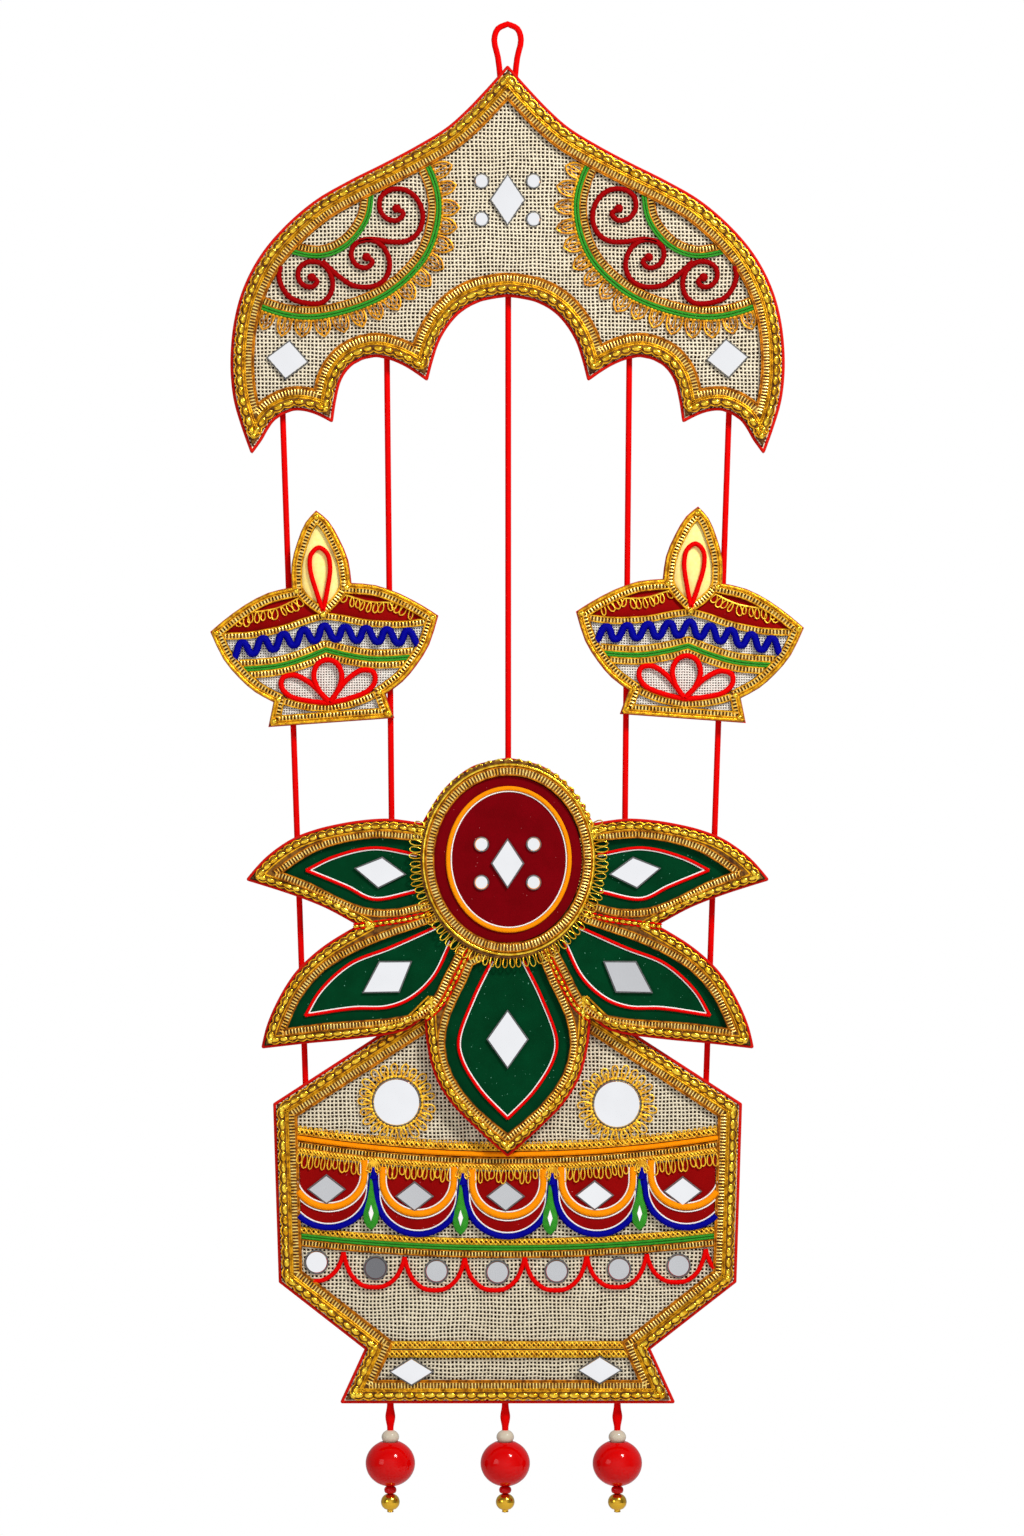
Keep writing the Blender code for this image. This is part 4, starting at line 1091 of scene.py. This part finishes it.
piece("leaf_white_lines", white, white_cord, "white_cord")

# %% Disc ring, loops and oval

def around(half, start=0, stop=360):
    """Part of an oval round the disc, anticlockwise, in degrees from the right."""
    turn = np.radians(np.linspace(start, stop, 240))
    return np.column_stack([DISC_CENTRE[0] + half[0] * np.cos(turn), DISC_CENTRE[1] + half[1] * np.sin(turn)])


edge, rung, gold, orange, white = piles(5)
rung_row(rung, around((39.4, 44.0)), RING_TOP + 0.1, 1.6, 3.4, 0.40, 0.35)
for half in ((37.6, 42.2), (41.2, 45.9)):
    thread(edge, around(half)[:-1], RING_TOP + 0.1, 0.5, 6, True)
thread(gold, around((42.4, 47.3))[:-1], RING_TOP + 0.4, 0.75, 8, True)
scalloped(gold, around((42.9, 48.0), 12, 168), RING_TOP + 1.0, 5.0, 2.0, 0.6)
bead_row(gold, around((43.2, 48.4), 12, 168), RING_TOP + 1.2, 4.4, 1.8, 1.3)
loop_row(gold, around((42.9, 48.0), 158, 382), LOTUS_TOP - 0.9, 3.1, 6.4, 3.2, 0.34, -1)
thread(orange, around((30.2, 35.4))[:-1], DISC - 0.7, 1.1, 8, True, 0.7)
thread(white, around((28.7, 33.9))[:-1], DISC - 0.3, 0.36, 6, True)
ladder_pieces("disc", edge, rung)
piece("disc_gold_loops", gold, rope_gold, "gold_lace")
piece("disc_orange_oval", orange, orange_cord, "orange_cord")
piece("disc_white_oval", white, white_cord, "white_cord")

# %% [markdown]
# ## Pot
# The pot's bands sag a little in the middle, so that the belly looks round. The top band is knotted braid, orange
# cord, ladder and a fringe of long loops. Below it hang five scallops of maroon velvet with orange, white and blue
# cords, then a mid band, a red scallop cord with round mirrors, and a double braid at the waist.


# %% Pot bands
BAND_HALF = 106.0                  # half the pot's width, where a band has risen by its full sag
TOP_SAG = 8.5
MID_SAG = 6.3


def band_line(middle, sag, offset):
    x = np.linspace(-112, 112, 240)
    return trimmed(np.column_stack([x, middle + sag * (x / BAND_HALF) ** 2 + offset]), POT_ROOM)


def top_line(offset):
    return band_line(-565.5, TOP_SAG, offset)


def mid_line(offset):
    return band_line(-612.5, MID_SAG, offset)


knots, edge, rung, orange, green, fringe, ground = piles(7)
# Dark strips under the bands: painted shade between their threads.
for line, low, high in ((top_line(0), -7.0, 6.0), (mid_line(0), -4.2, 5.8)):
    ribbon(ground, line, low, high, JUTE, JUTE - 0.25)
knot_braid(knots, top_line(4.2), 2.6, LAID)
loop_row(knots, top_line(5.2), LAID, 2.6, 1.8, 1.8, 0.34, 1)
thread(orange, top_line(0.9), LAID - 0.4, 1.25, 8)
ladder(edge, rung, top_line(-2.5), 2.8, LAID - 0.2)
knot_braid(fringe, top_line(-5.4), 2.2, LAID - 0.4, 1.7, 0.34)
loop_row(fringe, top_line(-6.0), LAID - 1.0, 3.0, 6.6, 3.0, 0.32, -1, 0.2)
knot_braid(knots, mid_line(4.1), 2.6, LAID)
double_cord(green, mid_line(1.1), 0.62, LAID - 0.4)
ladder(edge, rung, mid_line(-2.1), 2.8, LAID - 0.2)
for z in (-659.9, -664.3):
    line = trimmed(np.array([(-BAND_HALF, z), (BAND_HALF, z)]), POT_ROOM)
    # A dark strip under the waist braid: painted shade.
    ribbon(ground, line, -2.1, 2.1, JUTE, JUTE - 0.5)
    knot_braid(knots, line, 3.0, LAID - 0.3)

# %% Scallops
SCALLOP_PITCH = 44.7
CUSPS = [k * SCALLOP_PITCH for k in (-1.5, -0.5, 0.5, 1.5)]
DROP_ASIDE = -1.15                 # the green drops hang a little left of the cusps
SCALLOP_TOP = -572.0


def scallop(centre, half, start, depth, top=SCALLOP_TOP, spread=0.0):
    """A hanging loop: sides down to start, a little apart at the top, then half an oval of the given depth."""
    turn = np.linspace(pi, 2 * pi, 60)
    rise = MID_SAG * (centre / BAND_HALF) ** 2
    line = np.column_stack([centre + half * np.cos(turn), start + rise + depth * np.sin(turn)])
    ends = [[(centre + side * (half + spread), top + rise)] for side in (-1, 1)]
    return trimmed(np.vstack([ends[0], line, ends[1]]), POT_ROOM, 0.7)


blue, white = piles(2)
CLOTH_FRONT = front_of("pot_valance")
for k in range(5):
    middle = (k - 2) * SCALLOP_PITCH
    thread(blue, scallop(middle, 20.7, -586.0, 19.6, -577.5, 1.2), CLOTH_FRONT - 0.6, 1.5, 8)
    thread(orange, scallop(middle, 17.9, -578.5, 16.8), CLOTH_FRONT - 0.7, 1.6, 8, flat=0.7)
    for half, start, depth in ((16.0, -578.5, 14.8), (19.6, -579.0, 18.6), (19.1, -585.5, 18.2)):
        thread(white, scallop(middle, half, start, depth), CLOTH_FRONT - 0.4, 0.38, 6)


def diamond(centre, half, rise):
    return np.array([(half, 0), (0, rise), (-half, 0), (0, -rise)]) + centre


drops, sparks = piles(2)
DROP_HALF = ((0.5, -576.5), (1.0, -583.0), (1.9, -589.0), (3.4, -594.0), (3.9, -598.0), (3.2, -601.6), (1.6, -603.8),
             (0.4, -604.8))
for x in [cusp + DROP_ASIDE for cusp in CUSPS]:
    lift = 0.8 * TOP_SAG * (x / BAND_HALF) ** 2
    right = smooth(DROP_HALF) + (0, lift)
    line = np.vstack([right, right[::-1] * (-1, 1)]) + (x, 0)
    patch(drops, line[::-1], JUTE, CLOTH_FRONT - 2.2, 0.5)
    patch(sparks, diamond((x, -596.5 + lift), 1.3, 4.2), JUTE, CLOTH_FRONT - 2.5, 0.2)
for x in CUSPS:
    lift = TOP_SAG * (x / BAND_HALF) ** 2
    thread(blue, np.array([(x, -573.0 + lift), (x, -580.0 + lift)]), CLOTH_FRONT - 0.9, (0.9, 2.2), 8)
    for degrees in (-34, -17, 0, 17, 34):
        away = np.array([sin(radians(degrees)), -cos(radians(degrees))])
        foot = np.array([x, -570.8 + lift])
        t = np.linspace(0.1 * pi, 1.9 * pi, 10)
        wide = np.array([-away[1], away[0]])
        line = foot + np.outer((1 - np.cos(t)) / 2 * 6.4, away) + np.outer(np.sin(t) * 1.1, wide)
        thread(fringe, line, LAID - 2.1, 0.36, 5)

# %% Red scallop cord and round mirrors
SCALLOP_CORD = ((-112.6, -613.0), (-82, -613.5), (-51.5, -616), (-21.5, -616.5), (8.5, -616), (39.5, -615.5),
                (69.5, -614.5), (99, -612), (128, -610))
BOTTOMS = (-628.0, -631.0, -632.5, -632.5, -632.5, -631.0, -628.5, -626.0)
red = Pile()
share = np.array([0, 0.04, 0.14, 0.32, 0.5, 0.68, 0.86, 0.96, 1])
drop = np.array([0, 0.30, 0.68, 0.95, 1.0, 0.95, 0.68, 0.30, 0])
for (x0, z0), (x1, z1), low in zip(SCALLOP_CORD, SCALLOP_CORD[1:], BOTTOMS):
    top = z0 + (z1 - z0) * share
    line = smooth(np.column_stack([x0 + (x1 - x0) * share, top + (low - top) * drop]))
    thread(red, trimmed(line, POT_ROOM, 0.7), LAID - 0.3, 1.15, 8)
piece("pot_knots", knots, fringe_gold, "gold_braid", ["pot_waist_braid", "pot_mid_band"])
ladder_pieces("pot", edge, rung)
piece("pot_band_ground", ground, thread_gap_shade, "gold_braid")
piece("pot_fringe", fringe, fringe_gold, "gold_lace", ["pot_top_band"])
piece("pot_orange_cord", orange, orange_cord, "orange_cord")
piece("pot_green_cord", green, green_cord, "green_cord")
piece("pot_blue_cord", blue, blue_cord, "blue_cord")
piece("pot_white_lines", white, white_cord, "white_cord")
piece("pot_green_drops", drops, green_cord, "green_cord")
piece("pot_drop_sparks", sparks, white_cord, "white_cord")
piece("pot_scallop_cord", red, red_cord, "red_cord")

# %% [markdown]
# ## Mirror pieces
# Craft mirror is thin glass with a rough, dark edge. Each piece is a flat front with a narrow slope round it, on a
# slightly larger dark edge. The pieces are cut by hand. Three tones are used: bright glass, and grey and dark glass
# whose darker colour is painted reflection, the darker surroundings that some pieces mirror.


# %% Mirrors
def mirror_piece(glass, edges, line, back, front, edge=0.3):
    """One piece of glass in its dark edge."""
    line = np.asarray(line, float)
    if area_of(line) < 0:
        line = line[::-1]
    patch(edges, grown(line, edge), back, front + 0.35, 0.1)
    patch(glass, grown(line, -0.15), back, front, 0.35)


def grown(line, distance):
    """A closed outline moved outward, corner by corner."""
    before = line - np.roll(line, 1, axis=0)
    after = np.roll(line, -1, axis=0) - line
    out_a = np.column_stack([before[:, 1], -before[:, 0]]) / np.linalg.norm(before, axis=1)[:, None]
    out_b = np.column_stack([after[:, 1], -after[:, 0]]) / np.linalg.norm(after, axis=1)[:, None]
    middle = out_a + out_b
    return line + middle / (1 + (out_a * out_b).sum(1))[:, None] * distance


def disc_line(centre, radius, count=40):
    turn = np.arange(count) * 2 * pi / count
    return np.column_stack([centre[0] + radius * np.cos(turn), centre[1] + radius * np.sin(turn)])


bright, dull, dark, edges, lace = piles(5)
framed = [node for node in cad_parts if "mirror" in node]
for node in framed:
    low, high = (np.array(corner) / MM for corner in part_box(node))
    line = open_edges(node)[0]
    if "pot_mirror" in node:
        line = disc_line((low + high)[[0, 2]] / 2, (high[0] - low[0]) / 2)
    # One lotus piece takes the grey glass: painted reflection.
    mirror_piece(dull if node == "lotus_mirror_lower_right" else bright, edges, line, high[1], low[1])
ROUND = 3.5
for x, z, back in ((0, -87.5, JUTE), (0, -419.0, DISC)):
    for dx, dz in ((13, 9.5), (-13, 9.5), (-13, -9.5), (13, -9.5)):
        mirror_piece(bright, edges, disc_line((x + dx, z + dz), ROUND, 28), back, back - 1.4)
for x, z in ((-90.5, -582), (-46.5, -585.5), (-1, -585.5), (43.5, -585), (87.5, -583)):
    # The left diamonds take the grey glass: painted reflection.
    mirror_piece(dull if x < 0 else bright, edges, diamond((x, z), 9.2, 7.2), CLOTH_FRONT, CLOTH_FRONT - 1.4)
for k, (x, z) in enumerate(((-95.5, -618.5), (-66, -621.5), (-35.5, -623), (-5, -623.5), (24.5, -623), (55.75, -622),
                            (85.5, -620.25))):
    # Painted reflection: the second round mirror takes the dark glass and the last five the grey glass.
    glass = bright if k == 0 else dark if k == 1 else dull
    mirror_piece(glass, edges, disc_line((x, z), 5.6, 36), JUTE, JUTE - 1.2, 0.5)
for x, z in ((-55.5, -538.5), (54.6, -539.5)):
    ring = disc_line((x, z), 12.9, 120)
    ring = np.vstack([ring, ring[:1]])
    bead_row(lace, ring, LAID, 2.0, 1.6, 1.5)
    loop_row(lace, ring, LAID, 3.86, 6.8, 4.4, 0.45, -1)
    loop_row(lace, ring, LAID - 0.2, 3.86, 3.4, 2.0, 0.34, -1)
piece("mirror_glass", bright, silver, "mirror", framed, smooth_below=20)
piece("dull_mirror_glass", dull, painted_grey_reflection, "mirror", smooth_below=20)
piece("dark_mirror_glass", dark, painted_dark_reflection, "mirror", smooth_below=20)
piece("mirror_edges", edges, mirror_edge, "mirror", smooth_below=20)
piece("round_mirror_lace", lace, fringe_gold, "gold_lace")

# %% [markdown]
# ## Bead drops
# Three strings hang from the foot: a knotted red cord, a pearly bead, a big glossy ball with its hole on top, a small
# red bead and a brass bead crimped on the end. Beads are turned shapes, so each is an outline spun round its string.

# %% Beads
BEADS = {
    "cord": (((1.6, -688.0), (1.8, -692.0), (2.5, -696.5), (2.2, -699.0), (1.7, -701.5), (1.6, -704.0)),
             red_cord, "red_cord", "drop_cord_"),
    "pearl": (tuple((4.4 * sin(t), -706.9 + 3.7 * cos(t)) for t in np.linspace(0.2, pi - 0.2, 14)),
              None, "pearl", "drop_pearl_"),
    "ball": (((1.5, -711.4), (3.2, -710.2)) + tuple(
        (12.4 * sin(t), -720.0 + 11.6 * cos(t)) for t in np.linspace(0.38, pi - 0.1, 26)),
             None, "red_bead", "drop_ball_"),
    "small_ball": (((1.2, -731.4), (2.6, -732.0), (3.1, -733.4), (2.6, -734.8), (1.2, -735.3)),
                   None, "red_bead", None),
    "brass": (((1.3, -735.3), (2.8, -735.9), (4.2, -737.4), (4.7, -739.4), (4.2, -741.4), (2.8, -742.9),
               (1.7, -743.3), (1.5, -744.0), (1.7, -744.4), (0.9, -744.7)), None, "gold_bead", "drop_tail_"),
}


def gloss(name, colour, rough, metal=0.0, coat=0.10):
    r = Recipe(name)
    return r.set(Base_Color=r.mix(r.noise(180.0), tuple(0.9 * v for v in colour), colour), Roughness=rough,
                 Metallic=metal, Coat_Weight=coat, Coat_Roughness=0.05, Specular_IOR_Level=0.12)


bead_looks = {
    "pearl": gloss("pearl bead", (0.56, 0.50, 0.38), 0.22, coat=0.5),
    "ball": gloss("red bead", (0.60, 0.0, 0.0), 0.12),
    "small_ball": gloss("small red bead", (0.55, 0.0, 0.002), 0.25),
    "brass": gloss("brass bead", (0.80, 0.46, 0.04), 0.18, 1.0, 0.0),
}
STRING_X = {"left": -58.8, "centre": -1.2, "right": 55.0}
SPIN = 48
for name, (outline, material, slot, node) in BEADS.items():
    beads = Pile()
    turn = 2 * pi * np.arange(SPIN) / SPIN
    outline = smooth(outline, 0.5)
    for x in STRING_X.values():
        rows = [np.column_stack([x + r * np.cos(turn), r * np.sin(turn), np.full(SPIN, z)]) for r, z in outline]
        last = (len(outline) - 1) * SPIN
        faces = grid_faces(len(outline), SPIN)
        faces += [tuple(range(SPIN))[::-1], tuple(range(last, last + SPIN))]
        beads.add(np.vstack(rows), faces)
    piece("drop_beads_" + name, beads, material or bead_looks[name], slot,
          [node + side for side in STRING_X] if node else [])

# %% [markdown]
# ## Cloth
# The jute and velvet faces are cloth stretched over card and glued. Each is listed with the node it lies on, and the
# flat size of its piece of cloth is read from its box in the frame.

SHEETS = {"arch_jute": "arch_board", "lamp_jute_left": "lamp_board_left", "lamp_jute_right": "lamp_board_right",
          "lotus_velvet": "lotus_board", "pot_jute": "pot_board", "pot_valance": "pot_jute"}
for node, under in SHEETS.items():
    low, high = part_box(node)
    size = (round(high.x - low.x, 4), round(high.z - low.z, 4))
